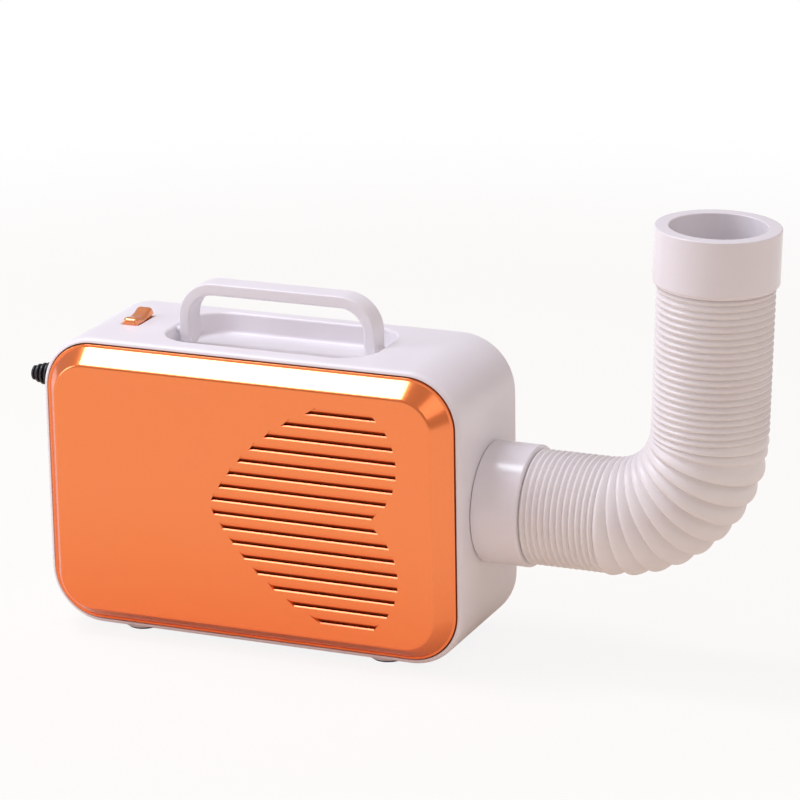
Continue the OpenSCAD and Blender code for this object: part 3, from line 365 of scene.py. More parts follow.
FINISHES = {
    "white_abs": moulded_white_abs,
    # ABS for hidden parts, moulded in a coarse spark-eroded tool: flat grey
    "grey_abs": finish("spark_grey_abs", "#6B6460", 0.6, shade="#625B57", grain_mm=0.8, grain=0.03),
    "orange_paint": sprayed_copper_paint,
    "orange_plate": plated_copper,
    # Glass-filled nylon: matt black with a faint fibre grain
    "black_nylon": finish("glass_filled_nylon", "#111113", 0.5, shade="#18181A", grain_mm=0.7,
                          grain=0.03, stretch=(1, 1, 3)),
    "black_rubber": moulded_black_rubber,
    # Natural rubber with carbon and chalk: dull dark grey, a little dusty
    "grey_rubber": finish("chalky_grey_rubber", "#3A3A3C", 0.75, shade="#454547", mottle=0.08,
                          grain_mm=0.7, grain=0.04),
    # Polyurethane foam, open cells of about a millimetre: dark and light-swallowing
    "foam": finish("open_cell_foam", "#141416", 0.95, shade="#242427", mottle=0.5, grain_mm=1.1,
                   grain=0.6),
    # Zinc-plated steel: bluish grey, softly clouded
    "zinc_steel": finish("zinc_plated_steel", "#B9BDC4", 0.32, metal=1.0, shade="#A7ABB2",
                         mottle_mm=6, mottle=0.05, grain_mm=0.6, grain=0.01),
    # Die-cast zinc: darker, with a slightly orange-peeled skin
    "cast_zinc": finish("die_cast_zinc", "#8E9197", 0.48, metal=1.0, shade="#7E8187", mottle_mm=8,
                        mottle=0.06, grain_mm=0.9, grain=0.03),
    # Sintered bronze: warm, granular and oily
    "sintered_bronze": finish("sintered_bronze", "#A9854C", 0.45, metal=1.0, shade="#8E6C3A",
                              mottle=0.15, grain_mm=0.5, grain=0.03),
    # Sintered ferrite: near black and chalky
    "ferrite": finish("sintered_ferrite", "#2C2C30", 0.7, shade="#38383C", mottle=0.1, grain_mm=0.5,
                      grain=0.03),
    # Enamelled copper wire wound in layers: the grain is drawn out along the wires
    "copper_winding": finish("enamelled_copper_wire", "#B4632F", 0.3, metal=1.0, shade="#8F4A20",
                             mottle=0.25, grain_mm=0.8, grain=0.2, stretch=(3, 0.2, 3)),
    # Pressed mica sheet: layered beige with flecks
    "mica": finish("pressed_mica", "#B3A07C", 0.55, shade="#9C8A66", mottle=0.15, grain_mm=1.5,
                   grain=0.05, coat=0.2),
    # Oxidised nickel-chrome wire: brown-grey from heat
    "resistance_wire": finish("oxidised_nichrome", "#5C5350", 0.5, metal=1.0, shade="#6E5A4C",
                              mottle_mm=10, mottle=0.1, grain_mm=0.4, grain=0.02),
    # Glazed steatite: ivory under a clear glaze
    "ceramic": finish("glazed_steatite", "#E2DED4", 0.15, shade="#D8D3C6", ior=1.6, coat=0.5,
                      mottle=0.02, grain_mm=2.0, grain=0.01),
    # Epoxy glass board under solder mask: glossy green over a woven grain
    "board_green": finish("solder_mask_green", "#1B5A34", 0.3, shade="#164C2B", coat=0.3,
                          mottle=0.1, grain_mm=0.6, grain=0.02),
    # Polyester relay and capacitor cases: plain blue, semi-matt
    "blue_plastic": finish("moulded_blue_pbt", "#264A8C", 0.4, shade="#21427E", mottle=0.04),
    # Polyamide terminal block: green, semi-matt
    "green_plastic": finish("moulded_green_pa", "#2C7A4C", 0.45, shade="#276D44", mottle=0.04),
    # Extruded PVC sleeves: smooth, with a faint draw along the wire
    "lead_black": finish("extruded_black_pvc", "#161616", 0.4, shade="#1E1E1E",
                         stretch=(1, 1, 0.2)),
    "lead_blue": finish("extruded_blue_pvc", "#1D2E86", 0.4, shade="#182775", stretch=(1, 1, 0.2)),
    "lead_red": finish("extruded_red_pvc", "#A02420", 0.4, shade="#8C1E1B", stretch=(1, 1, 0.2)),
    "white_cuff": polished_white_pp,
    "white_hose": blown_white_pe,
}
for part in frame["record"]["subparts"]:
    coat_with(frame["nodes"][part["node"]], FINISHES[part["material_slot"]])


# ---- housing ------------------------------------------------------------------------------

def housing_shell():
    """The moulded box: rounded at its back and front rims, with the well, the rocker's seat, the
    holes for hose and cord, the feet and the inner posts."""
    edge, front_in, front_back, inner_round = 3.0, 2.9, 4.2, 1.5
    profile = [(edge + 6, BACK_Y)]
    profile += arc(edge, BACK_Y - edge, edge, edge, 90, 180)
    profile += [(0, 0)]
    profile += arc(front_in, FRONT_Y + front_back, front_in, front_back, 180, 270, 8)
    profile += [(WALL, FRONT_Y + 0.25), (WALL, INNER_BACK_Y - inner_round)]
    profile += arc(WALL + inner_round, INNER_BACK_Y - inner_round, inner_round, inner_round,
                   180, 90, 3)[1:]
    shell = loft("shell", rim_rings(profile, BODY_W, BODY_H, CORNER_R, (0, MID_Z)))

    tub_floor = TOP_Z - WELL_DEPTH - WALL
    tub = loft("tub", rim_rings([(-WALL, TOP_Z - 1), (-WALL, tub_floor + 2), (2 - WALL, tub_floor)],
                                WELL_L, WELL_W, WELL_R, (WELL_X, WELL_Y), upright=False))
    carve(shell, tub, "UNION")

    rim, foot = 2.0, 3.0
    floor_z = TOP_Z - WELL_DEPTH
    hollow = [(-rim, TOP_Z + 5)]
    hollow += [(-rim * (1 - sin(radians(a))), TOP_Z - rim * (1 - cos(radians(a))))
               for a in range(0, 91, 15)]
    hollow += [(foot * (1 - cos(radians(a))), floor_z + foot * (1 - sin(radians(a))))
               for a in range(0, 91, 15)]
    carve(shell, loft("well", rim_rings(hollow, WELL_L, WELL_W, WELL_R, (WELL_X, WELL_Y), False)))

    seat = [(-0.8, TOP_Z + 2), (-0.8, TOP_Z), (-0.45, TOP_Z - 0.35), (0, TOP_Z - 0.8),
            (0, TOP_Z - 2 * WALL)]
    carve(shell, loft("rocker_seat", rim_rings(seat, ROCKER_W + 2 * ROCKER_GAP,
                      ROCKER_L + 2 * ROCKER_GAP, 1.4, (ROCKER_X, ROCKER_Y), False)))
    inside, outside, bore = SIDE_X - 8, SIDE_X + 4, SPIGOT_R + SPIGOT_GAP
    hole = [(inside, bore), (SIDE_X - 0.6, bore), (SIDE_X + 0.2, bore + 0.8), (outside, bore + 0.8)]
    carve(shell, disc("hose_hole", hole, (0, HOSE_Y, MID_Z), (1, 0, 0)))
    hole = [(inside, BOOT_SEAT_R + 0.02), (outside, BOOT_SEAT_R + 0.02)]
    carve(shell, disc("cord_hole", hole, (0, BOOT_Y, BOOT_Z), (-1, 0, 0), 48))

    for sx in (-1, 1):
        for sy in (-1, 1):
            side = [(8, FOOT_R)] + arc(2.3, FOOT_R - 0.8, 0.8, 0.8, 90, 180, 4)
            join(shell, disc("foot", side, (sx * FOOT_X, sy * FOOT_Y, 0), (0, 0, 1), 64))
    inner_posts(shell)
    return smooth(shell)


def inner_posts(shell):
    """The bosses inside the housing that carry the chassis, the board and the cord's clamp."""
    reach = CORNER_R - WALL - 5 - 0.3
    post_x = SIDE_X - CORNER_R + reach * cos(radians(45))
    post_z = BODY_H / 2 - CORNER_R + reach * sin(radians(45))
    for sx in (-1, 1):
        for sz in (-1, 1):
            places = [(CHASSIS_POST, sx * post_x, MID_Z + sz * post_z, 24),
                      (BOARD_POST, BOARD_X + sx * BOARD_HOLE_X, BOARD_Z + sz * BOARD_HOLE_Z, 20)]
            for (r, end), x, z, sides in places:
                profile = [(end, r), (INNER_BACK_Y + 1, r)]
                join(shell, disc("post", profile, (x, 0, z), (0, 1, 0), sides))
    near, far, low = BOOT_Y - CRADLE_HALF, BOOT_Y + CRADLE_HALF, BOOT_Z - CRADLE_DROP
    rings = [[(x, near, low), (x, far, low), (x, far, BOOT_Z), (x, near, BOOT_Z)] for x in CRADLE_X]
    join(shell, loft("cradle", rings))


housing = housing_shell()
dress(housing, moulded_white_abs, "housing", "white_abs", "housing_shell").name = "housing_skin"


def foot_pads():
    """Four rubber pads with a round edge and two shallow grooves underneath."""
    pads = None
    for sx in (-1, 1):
        for sy in (-1, 1):
            profile = [(2.9, PAD_R), (0.7, PAD_R)] + arc(0.6, PAD_R - 0.6, 0.6, 0.6, 90, 180, 3)
            for r in (8.6, 4.6):
                profile += [(0, r), (0.5, r - 0.4), (0.5, r - 1.2), (0, r - 1.6)]
            pad = disc("foot_pad_set", profile, (sx * FOOT_X, sy * FOOT_Y, 0), (0, 0, 1), 64)
            pads = join(pads, pad) if pads else pad
    return smooth(pads)


dress(foot_pads(), FINISHES["grey_rubber"], "housing", "grey_rubber", "foot_pads")


# ---- louvred front ------------------------------------------------------------------------

def louvre_tool():
    """The tool for one louvre, its section given as (inwards, up). The face rolls inwards above
    the slot, and the lip below it has a chamfer that catches the light. Both lead into a slope
    that goes down inwards."""
    half, reach, ahead = SLOT_H / 2, 12, 0.3
    top = half + ROLL_RISE
    section = [(-ahead, top + 1.0)] + [(inwards, top - down) for inwards, down in ROLL]
    fold_y, fold_z = section[-1]
    section += [(reach, fold_z - (reach - fold_y)), (reach, -half - (reach - 1.1))]
    section += [(0.75, -half - 0.15), (-ahead, -half - 1.2)]
    return loft("louvre_cutters", [[(x, y, z) for y, z in section] for x in (-1, 1)])


def louvre_cutters():
    """The tool repeated by a tree whose rule is the heart: at each height a slot runs from the
    flank's arc on the left to the lobe's arc on the right."""
    tree = bpy.data.node_groups.new("louvre_heart", "GeometryNodeTree")
    tree.interface.new_socket("Geometry", in_out="OUTPUT", socket_type="NodeSocketGeometry")
    tree.interface.new_socket("Tool", in_out="INPUT", socket_type="NodeSocketGeometry")
    tree.interface.new_socket("Count", in_out="INPUT", socket_type="NodeSocketInt")
    sizes = {"Pitch": SLOT_PITCH, "Slot Height": SLOT_H, "Flare": 0.3, "Lobe Radius": LOBE_R,
             "Lobe X": LOBE_X, "Lobe Z": LOBE_Z, "Flank Radius": FLANK_R, "Flank X": FLANK_X,
             "Flank Z": FLANK_Z}
    for size in sizes:
        tree.interface.new_socket(size, in_out="INPUT", socket_type="NodeSocketFloat")
    tree.interface.new_socket("Material", in_out="INPUT", socket_type="NodeSocketMaterial")
    size = node(tree, "NodeGroupInput").outputs

    gaps = node(tree, "ShaderNodeMath", {0: size["Count"], 1: 1}, operation="SUBTRACT")
    rise = node(tree, "ShaderNodeMath", {0: gaps, 1: size["Pitch"]}, operation="MULTIPLY")
    lowest = node(tree, "ShaderNodeMath", {0: rise, 1: -0.5}, operation="MULTIPLY")
    first = node(tree, "ShaderNodeCombineXYZ", {"Z": lowest})
    step = node(tree, "ShaderNodeCombineXYZ", {"Z": size["Pitch"]})
    rows = node(tree, "GeometryNodeMeshLine", {"Count": size["Count"], "Start Location": first,
                "Offset": step})
    level = node(tree, "ShaderNodeSeparateXYZ", {0: node(tree, "GeometryNodeInputPosition")})
    marked = node(tree, "GeometryNodeStoreNamedAttribute", {"Geometry": rows, "Name": "row_height",
                  "Value": level.outputs["Z"]}, data_type="FLOAT", domain="POINT")
    slots = node(tree, "GeometryNodeInstanceOnPoints", {"Points": marked, "Instance": size["Tool"]})
    loose = node(tree, "GeometryNodeRealizeInstances", {"Geometry": slots})

    here = node(tree, "ShaderNodeSeparateXYZ", {0: node(tree, "GeometryNodeInputPosition")}).outputs
    row = node(tree, "GeometryNodeInputNamedAttribute", {"Name": "row_height"}, data_type="FLOAT")
    above = node(tree, "ShaderNodeMath", {0: here["Z"], 1: row}, operation="SUBTRACT")
    half = node(tree, "ShaderNodeMath", {0: size["Slot Height"], 1: 0.5}, operation="MULTIPLY")
    below = node(tree, "ShaderNodeMath", {0: half, 1: -1}, operation="MULTIPLY")
    above = node(tree, "ShaderNodeClamp", {"Value": above, "Min": below, "Max": half})
    up = node(tree, "ShaderNodeMath", {0: row, 1: above}, operation="ADD")
    up = node(tree, "ShaderNodeMath", {0: up}, operation="ABSOLUTE")
    from_lobe = node(tree, "ShaderNodeMath", {0: up, 1: size["Lobe Z"]}, operation="SUBTRACT")
    from_flank = node(tree, "ShaderNodeMath", {0: up, 1: size["Flank Z"]}, operation="ADD")
    chords = []
    for radius, off in ((size["Lobe Radius"], from_lobe), (size["Flank Radius"], from_flank)):
        whole = node(tree, "ShaderNodeMath", {0: radius, 1: radius}, operation="MULTIPLY")
        part = node(tree, "ShaderNodeMath", {0: off, 1: off}, operation="MULTIPLY")
        rest = node(tree, "ShaderNodeMath", {0: whole, 1: part}, operation="SUBTRACT")
        rest = node(tree, "ShaderNodeMath", {0: rest, 1: 1.0}, operation="MAXIMUM")
        chords.append(node(tree, "ShaderNodeMath", {0: rest}, operation="SQRT"))
    ahead = node(tree, "ShaderNodeMath", {0: here["Y"], 1: -0.1}, operation="LESS_THAN")
    flare = node(tree, "ShaderNodeMath", {0: size["Flare"], 1: ahead}, operation="MULTIPLY")
    right = node(tree, "ShaderNodeMath", {0: size["Lobe X"], 1: chords[0]}, operation="ADD")
    right = node(tree, "ShaderNodeMath", {0: right, 1: flare}, operation="ADD")
    left = node(tree, "ShaderNodeMath", {0: size["Flank X"], 1: chords[1]}, operation="SUBTRACT")
    left = node(tree, "ShaderNodeMath", {0: left, 1: flare}, operation="SUBTRACT")
    on_right = node(tree, "ShaderNodeMath", {0: here["X"], 1: 0.0}, operation="GREATER_THAN")
    across = node(tree, "GeometryNodeSwitch", {"Switch": on_right, "False": left, "True": right},
                  input_type="FLOAT")
    place = node(tree, "ShaderNodeCombineXYZ", {"X": across, "Y": here["Y"], "Z": here["Z"]})
    shaped = node(tree, "GeometryNodeSetPosition", {"Geometry": loose, "Position": place})
    plain = node(tree, "GeometryNodeRemoveAttribute", {"Geometry": shaped, "Name": "row_height"})
    coated = node(tree, "GeometryNodeSetMaterial", {"Geometry": plain,
                  "Material": size["Material"]})
    node(tree, "NodeGroupOutput", {"Geometry": coated})

    carrier = louvre_tool()
    # The rule's sizes are in millimetres, so the tool is too until it has been repeated
    carrier.data.transform(Matrix.Scale(1 / MM, 4))
    grow = carrier.modifiers.new("louvres", "NODES")
    grow.node_group = tree
    set_inputs(grow, tree, {**sizes, "Count": SLOT_COUNT, "Material": sprayed_copper_paint})
    bake(carrier)
    carrier.data.transform(Matrix.Translation((0, FACE_Y * MM, MID_Z * MM)) @ Matrix.Scale(MM, 4))
    return carrier


def louvred_panel():
    """The bevelled panel with its louvres, the grille block behind them and its screw posts. Its
    bevel folds into the face over a small radius."""
    lip_y, fold = FRONT_Y - 1.0, 2.6
    a, b = Vector((1.9, lip_y - 0.5)), Vector((BEVEL_W, FACE_Y))
    slope = (b - a).normalized()
    turn = acos(slope.x)
    tangent = fold * tan(turn / 2)
    start = b - slope * tangent
    centre = Vector((b.x + tangent, b.y + fold))
    angle = degrees(atan2(start.y - centre.y, start.x - centre.x)) % 360
    outer = [(0, CHASSIS_Y), (0, FRONT_Y - 0.4)]
    outer += arc(0.6, FRONT_Y - 0.4, 0.6, 0.6, 180, 270, 4)[1:]
    outer += [(1.3, lip_y), (1.65, lip_y - 0.12)]
    outer += [tuple(a)] + arc(centre.x, centre.y, fold, fold, angle, 270, 7)
    inner = [(BEVEL_W + 1, FACE_Y + PANEL_T), (PANEL_T + 1.4, FRONT_Y - 0.4),
             (PANEL_T, FRONT_Y + 1.5), (PANEL_T, CHASSIS_Y)]
    panel = loft("panel", rim_rings(inner + outer, PANEL_W, PANEL_H, PANEL_R, (0, MID_Z)))
    low, high = MID_Z - GRILLE_H / 2, MID_Z + GRILLE_H / 2
    block = [[(GRILLE_LEFT, y, low), (GRILLE_RIGHT, y, low), (GRILLE_RIGHT, y, high),
              (GRILLE_LEFT, y, high)] for y in (FACE_Y + 1.2, FACE_Y + 5)]
    carve(panel, loft("grille", block), "UNION")
    carve(panel, louvre_cutters())
    for sx in (-1, 1):
        for sz in (-1, 1):
            profile = [(FACE_Y + 2, PANEL_POST_R), (CHASSIS_Y, PANEL_POST_R)]
            place = (sx * PANEL_POST_X, 0, MID_Z + sz * PANEL_POST_Z)
            join(panel, disc("post", profile, place, (0, 1, 0), 24))
    return smooth(panel)


front = louvred_panel()
dress(front, sprayed_copper_paint, "housing", "orange_paint", "front_panel").name = "louvred_front"


# ---- handle, rocker, strain relief ---------------------------------------------------------

def strap_section(wide):
    """The handle's section. Its inner edges are rounder than its outer ones."""
    inner, outer = min(STRAP_INNER_ROUND, wide / 2.01), min(STRAP_OUTER_ROUND, wide / 2.01)
    low, high, half = -STRAP_T / 2, STRAP_T / 2 + STRAP_SWELL, wide / 2
    points = arc(high - inner, half - inner, inner, inner, 0, 90)
    points += arc(low + outer, half - outer, outer, outer, 90, 180)
    points += arc(low + outer, outer - half, outer, outer, 180, 270)
    return points + arc(high - inner, inner - half, inner, inner, 270, 360)


def bail_handle():
    """The strap's section, swept down one leg, over the top and down the other. Each foot
    narrows as a half circle round its pivot."""
    stations = []
    half = (HANDLE_W - STRAP_T) / 2
    bend = HANDLE_R - STRAP_T / 2
    top = HANDLE_RISE - STRAP_T / 2
    for i in range(10, -1, -1):
        a = radians(89.0 * i / 10)
        stations.append((-half, -STRAP_W / 2 * sin(a), (1, 0), STRAP_W * cos(a)))
    for i in range(15):
        a = radians(90 * i / 14)
        stations.append((-half + bend * (1 - cos(a)), top - bend + bend * sin(a),
                         (cos(a), -sin(a)), STRAP_W))
    stations += [(-x, z, (-n[0], n[1]), w) for x, z, n, w in reversed(stations)]
    rings = [[(WELL_X + x + u * nx, WELL_Y + v, PIVOT_Z + z + u * nz)
              for u, v in strap_section(wide)] for x, z, (nx, nz), wide in stations]
    return smooth(loft("bail", rings), 40)


dress(bail_handle(), moulded_white_abs, "handle", "white_abs", "handle")


def rocker_saddle():
    """A saddle with round ends and edges. Its sides overhang a recess, so that its raised end
    shows a dark line under it."""
    across, along, foot, lip = 12, 48, 1.5, 1.3
    half_w, half_l = ROCKER_W / 2, ROCKER_L / 2
    rings = []
    for j in range(along + 1):
        turn = pi * (j / along - 0.5)
        y = half_l * sin(turn)
        inset = max(0.0, 1 - (half_l - abs(y)) / ROCKER_END_ROUND)
        crown = ROCKER_CROWN - ROCKER_DISH * cos(pi * y / ROCKER_L / 1.1) ** 2
        crown -= ROCKER_END_ROUND * (1 - sqrt(1 - inset ** 2)) * 0.85
        ring = [(lip - half_w, y, foot), (lip - half_w, y, ROCKER_SKIRT - 0.3),
                (-half_w, y, ROCKER_SKIRT)]
        for i in range(across + 1):
            u = i / across * 2 - 1
            edge = max(0.0, 1 - (half_w - abs(u) * half_w) / ROCKER_SIDE_ROUND)
            ring.append((u * half_w, y, crown - ROCKER_SIDE_ROUND * (1 - sqrt(1 - edge ** 2))))
        ring += [(half_w, y, ROCKER_SKIRT), (half_w - lip, y, ROCKER_SKIRT - 0.3),
                 (half_w - lip, y, foot)]
        rings.append(ring)
    tilt = Matrix.Rotation(radians(ROCKER_TILT), 3, "X")
    pivot = Vector((ROCKER_X, ROCKER_Y, ROCKER_PIVOT_Z))
    return smooth(loft("rocker", [[tilt @ Vector(p) + pivot for p in ring] for ring in rings]), 50)


dress(rocker_saddle(), plated_copper, "rocker", "orange_plate", "rocker_cap")


def strain_relief():
    """A sleeve of close ribs that taper towards the cord's end, with the cord's bore through it."""
    span = BOOT_L - BOOT_RIB - 0.15
    places = [(0.15 + i * span / BOOT_RIBS, BOOT_R + (BOOT_TIP_R - BOOT_R) * (i / BOOT_RIBS) ** 3.2)
              for i in range(BOOT_RIBS + 1)]
    flange = WALL + 2.5
    profile = [(-flange, BOOT_BORE_R), (-flange, BOOT_FLANGE_R), (-WALL, BOOT_FLANGE_R),
               (-WALL, BOOT_SEAT_R), (-0.1, BOOT_SEAT_R)]
    for near, r in places:
        far = near + BOOT_RIB
        root = max(BOOT_BORE_R + 0.5, r - BOOT_GROOVE)
        profile += [(near, root), (near, r - 0.7), (near + 0.5, r), (far - 0.5, r), (far, r - 0.7)]
        profile.append((far, root if far < BOOT_L - 0.1 else BOOT_BORE_R))
    return smooth(lathe("relief", profile, (-SIDE_X, BOOT_Y, BOOT_Z), (-1, 0, 0), 64), 40)


dress(strain_relief(), moulded_black_rubber, "housing", "black_rubber", "cord_boot")


# ---- cuffs and hose -----------------------------------------------------------------------

def turning_cuff():
    """The collar at the housing's side, with the spigot that turns inside the housing."""
    gap, inner_round, outer_round = 0.3, 0.9, 1.3
    profile = [(-SPIGOT_L, CUFF_BORE_R), (-SPIGOT_L, SPIGOT_R - 0.6), (0.6 - SPIGOT_L, SPIGOT_R),
               (gap, SPIGOT_R)]
    profile += arc(gap + inner_round, CUFF_R - inner_round, inner_round, inner_round, 180, 90, 4)
    profile += arc(CUFF_L - outer_round, CUFF_R - outer_round, outer_round, outer_round, 90, 0, 5)
    profile += [(CUFF_L, CUFF_R - 1.5), (CUFF_L, CUFF_BORE_R)]
    return smooth(lathe("cuff", profile, (SIDE_X, HOSE_Y, MID_Z), (1, 0, 0), 128))


collar = turning_cuff()
dress(collar, polished_white_pp, "lower_hose", "white_cuff", "hose_cuff").name = "turning_cuff"


def nozzle_cuff():
    """The open cuff at the hose's end: tapered where the hose goes in, round at its mouth."""
    profile = [(0, CUFF_BORE_R), (0, CUFF_R - 2.5), (0.25, CUFF_R - 2.0), (2.3, CUFF_R - 0.15),
               (2.9, CUFF_R)]
    profile += arc(NOZZLE_L - 0.9, CUFF_R - 0.9, 0.9, 0.9, 90, 0, 4)
    profile += arc(NOZZLE_L - 0.7, CUFF_BORE_R + 0.7, 0.7, 0.7, 0, -90, 4)
    return smooth(lathe("nozzle", profile, HOSE_TOP, HOSE_DIR, 128))


dress(nozzle_cuff(), polished_white_pp, "nozzle", "white_cuff", "nozzle_cuff").name = "nozzle_ring"


# A rib's height from its start to its end: a closed-up rib is even, and an opened one leans
CLOSED_RIB = [(0.0, 0.0), (0.1, 0.16), (0.26, 0.68), (0.5, 1.0), (0.74, 0.68), (0.9, 0.16),
              (1.0, 0.0)]
OPEN_RIB = [(0.0, 0.0), (0.02, 0.3), (0.05, 0.62), (0.11, 0.88), (0.2, 0.99), (0.32, 1.0),
            (0.5, 0.9), (0.7, 0.66), (0.87, 0.3), (1.0, 0.0)]
# How far the ribs are opened along the elbow, and at its inner side against its outer side
OPENING = [(0.0, 0.0), (0.03, 1.0), (0.88, 1.0), (0.91, 0.0), (1.0, 0.0)]
INNER_OPENING = 0.3
RIB_STEPS, ELBOW_STEPS, HOSE_SIDES = 12, 220, 96


def hose_tree(name, rib_shape):
    """A ribbed tube along an arc or a line. rib_shape gives a rib's height from its start to its
    end, and the tree repeats it along the way."""
    tree = bpy.data.node_groups.new(name, "GeometryNodeTree")
    tree.interface.new_socket("Geometry", in_out="OUTPUT", socket_type="NodeSocketGeometry")
    for whole in ("Ribs", "Closed Ribs", "Steps", "Sides"):
        tree.interface.new_socket(whole, in_out="INPUT", socket_type="NodeSocketInt")
    for length in ("Length", "Bend Radius", "Turn", "Crest Radius", "Rib Depth", "Heading",
                   "Open Share", "Swell", "Extra Depth"):
        tree.interface.new_socket(length, in_out="INPUT", socket_type="NodeSocketFloat")
    tree.interface.new_socket("Start", in_out="INPUT", socket_type="NodeSocketVector")
    tree.interface.new_socket("Material", in_out="INPUT", socket_type="NodeSocketMaterial")
    size = node(tree, "NodeGroupInput").outputs

    rows = node(tree, "ShaderNodeMath", {0: size["Steps"], 1: 1}, operation="ADD")
    columns = node(tree, "ShaderNodeMath", {0: size["Sides"], 1: 1}, operation="ADD")
    sheet = node(tree, "GeometryNodeMeshGrid", {"Size X": 1, "Size Y": 1, "Vertices X": rows,
                 "Vertices Y": columns})
    here = node(tree, "ShaderNodeSeparateXYZ", {0: node(tree, "GeometryNodeInputPosition")})
    way = node(tree, "ShaderNodeMath", {0: here.outputs["X"], 1: 0.5}, operation="ADD")
    round_it = node(tree, "ShaderNodeMath", {0: here.outputs["Y"], 1: 2 * pi}, operation="MULTIPLY")
    # Past the opened share the ribs are closed up, at a pitch of their own
    early = node(tree, "ShaderNodeMath", {0: way, 1: size["Open Share"]}, operation="DIVIDE")
    early = node(tree, "ShaderNodeMath", {0: early, 1: size["Ribs"]}, operation="MULTIPLY")
    rest = node(tree, "ShaderNodeMath", {0: way, 1: size["Open Share"]}, operation="SUBTRACT")
    spare = node(tree, "ShaderNodeMath", {0: 1, 1: size["Open Share"]}, operation="SUBTRACT")
    spare = node(tree, "ShaderNodeMath", {0: spare, 1: 1e-6}, operation="MAXIMUM")
    rest = node(tree, "ShaderNodeMath", {0: rest, 1: spare}, operation="DIVIDE")
    later = node(tree, "ShaderNodeMath", {0: rest, 1: size["Closed Ribs"], 2: size["Ribs"]},
                 operation="MULTIPLY_ADD")
    past = node(tree, "ShaderNodeMath", {0: way, 1: size["Open Share"]}, operation="GREATER_THAN")
    phase = node(tree, "GeometryNodeSwitch", {"Switch": past, "False": early, "True": later},
                 input_type="FLOAT")
    phase = node(tree, "ShaderNodeMath", {0: phase}, operation="FRACT")
    rise = node(tree, "ShaderNodeFloatCurve", {"Value": phase})
    points = rise.mapping.curves[0].points
    points[0].location, points[1].location = rib_shape[0], rib_shape[-1]
    for x, y in rib_shape[1:-1]:
        points.new(x, y)
    rise.mapping.update()
    # Opened ribs stand prouder and their grooves are deeper, most of all outside the bend
    opened = node(tree, "ShaderNodeFloatCurve", {"Value": way})
    points = opened.mapping.curves[0].points
    points[0].location, points[1].location = OPENING[0], OPENING[-1]
    for x, y in OPENING[1:-1]:
        points.new(x, y)
    for point in points:
        point.handle_type = "VECTOR"
    opened.mapping.update()
    outside = node(tree, "ShaderNodeMath", {0: round_it}, operation="COSINE")
    outside = node(tree, "ShaderNodeMath", {0: outside, 1: (INNER_OPENING - 1) / 2,
                   2: (INNER_OPENING + 1) / 2}, operation="MULTIPLY_ADD")
    opened = node(tree, "ShaderNodeMath", {0: opened, 1: outside}, operation="MULTIPLY")
    crest = node(tree, "ShaderNodeMath", {0: opened, 1: size["Swell"], 2: size["Crest Radius"]},
                 operation="MULTIPLY_ADD")
    depth = node(tree, "ShaderNodeMath", {0: opened, 1: size["Extra Depth"], 2: size["Rib Depth"]},
                 operation="MULTIPLY_ADD")
    fall = node(tree, "ShaderNodeMath", {0: 1, 1: rise}, operation="SUBTRACT")
    drop = node(tree, "ShaderNodeMath", {0: fall, 1: depth}, operation="MULTIPLY")
    radius = node(tree, "ShaderNodeMath", {0: crest, 1: drop}, operation="SUBTRACT")

    swing = node(tree, "ShaderNodeMath", {0: way, 1: size["Turn"]}, operation="MULTIPLY")
    sine = node(tree, "ShaderNodeMath", {0: swing}, operation="SINE")
    cosine = node(tree, "ShaderNodeMath", {0: swing}, operation="COSINE")
    out = node(tree, "ShaderNodeMath", {0: round_it}, operation="COSINE")
    out = node(tree, "ShaderNodeMath", {0: out, 1: radius}, operation="MULTIPLY")
    across = node(tree, "ShaderNodeMath", {0: round_it}, operation="SINE")
    across = node(tree, "ShaderNodeMath", {0: across, 1: radius}, operation="MULTIPLY")
    # The bend's inner side is the one that the centre of the bend lies on
    reach = node(tree, "ShaderNodeMath", {0: size["Bend Radius"], 1: out}, operation="SUBTRACT")
    along = node(tree, "ShaderNodeMath", {0: way, 1: size["Length"]}, operation="MULTIPLY")
    x = node(tree, "ShaderNodeMath", {0: reach, 1: sine, 2: along}, operation="MULTIPLY_ADD")
    lift = node(tree, "ShaderNodeMath", {0: reach, 1: cosine}, operation="MULTIPLY")
    z = node(tree, "ShaderNodeMath", {0: size["Bend Radius"], 1: lift}, operation="SUBTRACT")
    place = node(tree, "ShaderNodeCombineXYZ", {"X": x, "Y": across, "Z": z})
    tube = node(tree, "GeometryNodeSetPosition", {"Geometry": sheet.outputs["Mesh"],
                "Position": place})
    closed = node(tree, "GeometryNodeMergeByDistance", {"Geometry": tube, "Distance": 0.01})
    aim = node(tree, "ShaderNodeCombineXYZ", {"Y": size["Heading"]})
    placed = node(tree, "GeometryNodeTransform", {"Geometry": closed, "Translation": size["Start"],
                  "Rotation": aim})
    real = node(tree, "GeometryNodeRealizeInstances", {"Geometry": placed})
    coated = node(tree, "GeometryNodeSetMaterial", {"Geometry": real, "Material": size["Material"]})
    node(tree, "NodeGroupOutput", {"Geometry": coated})
    return tree


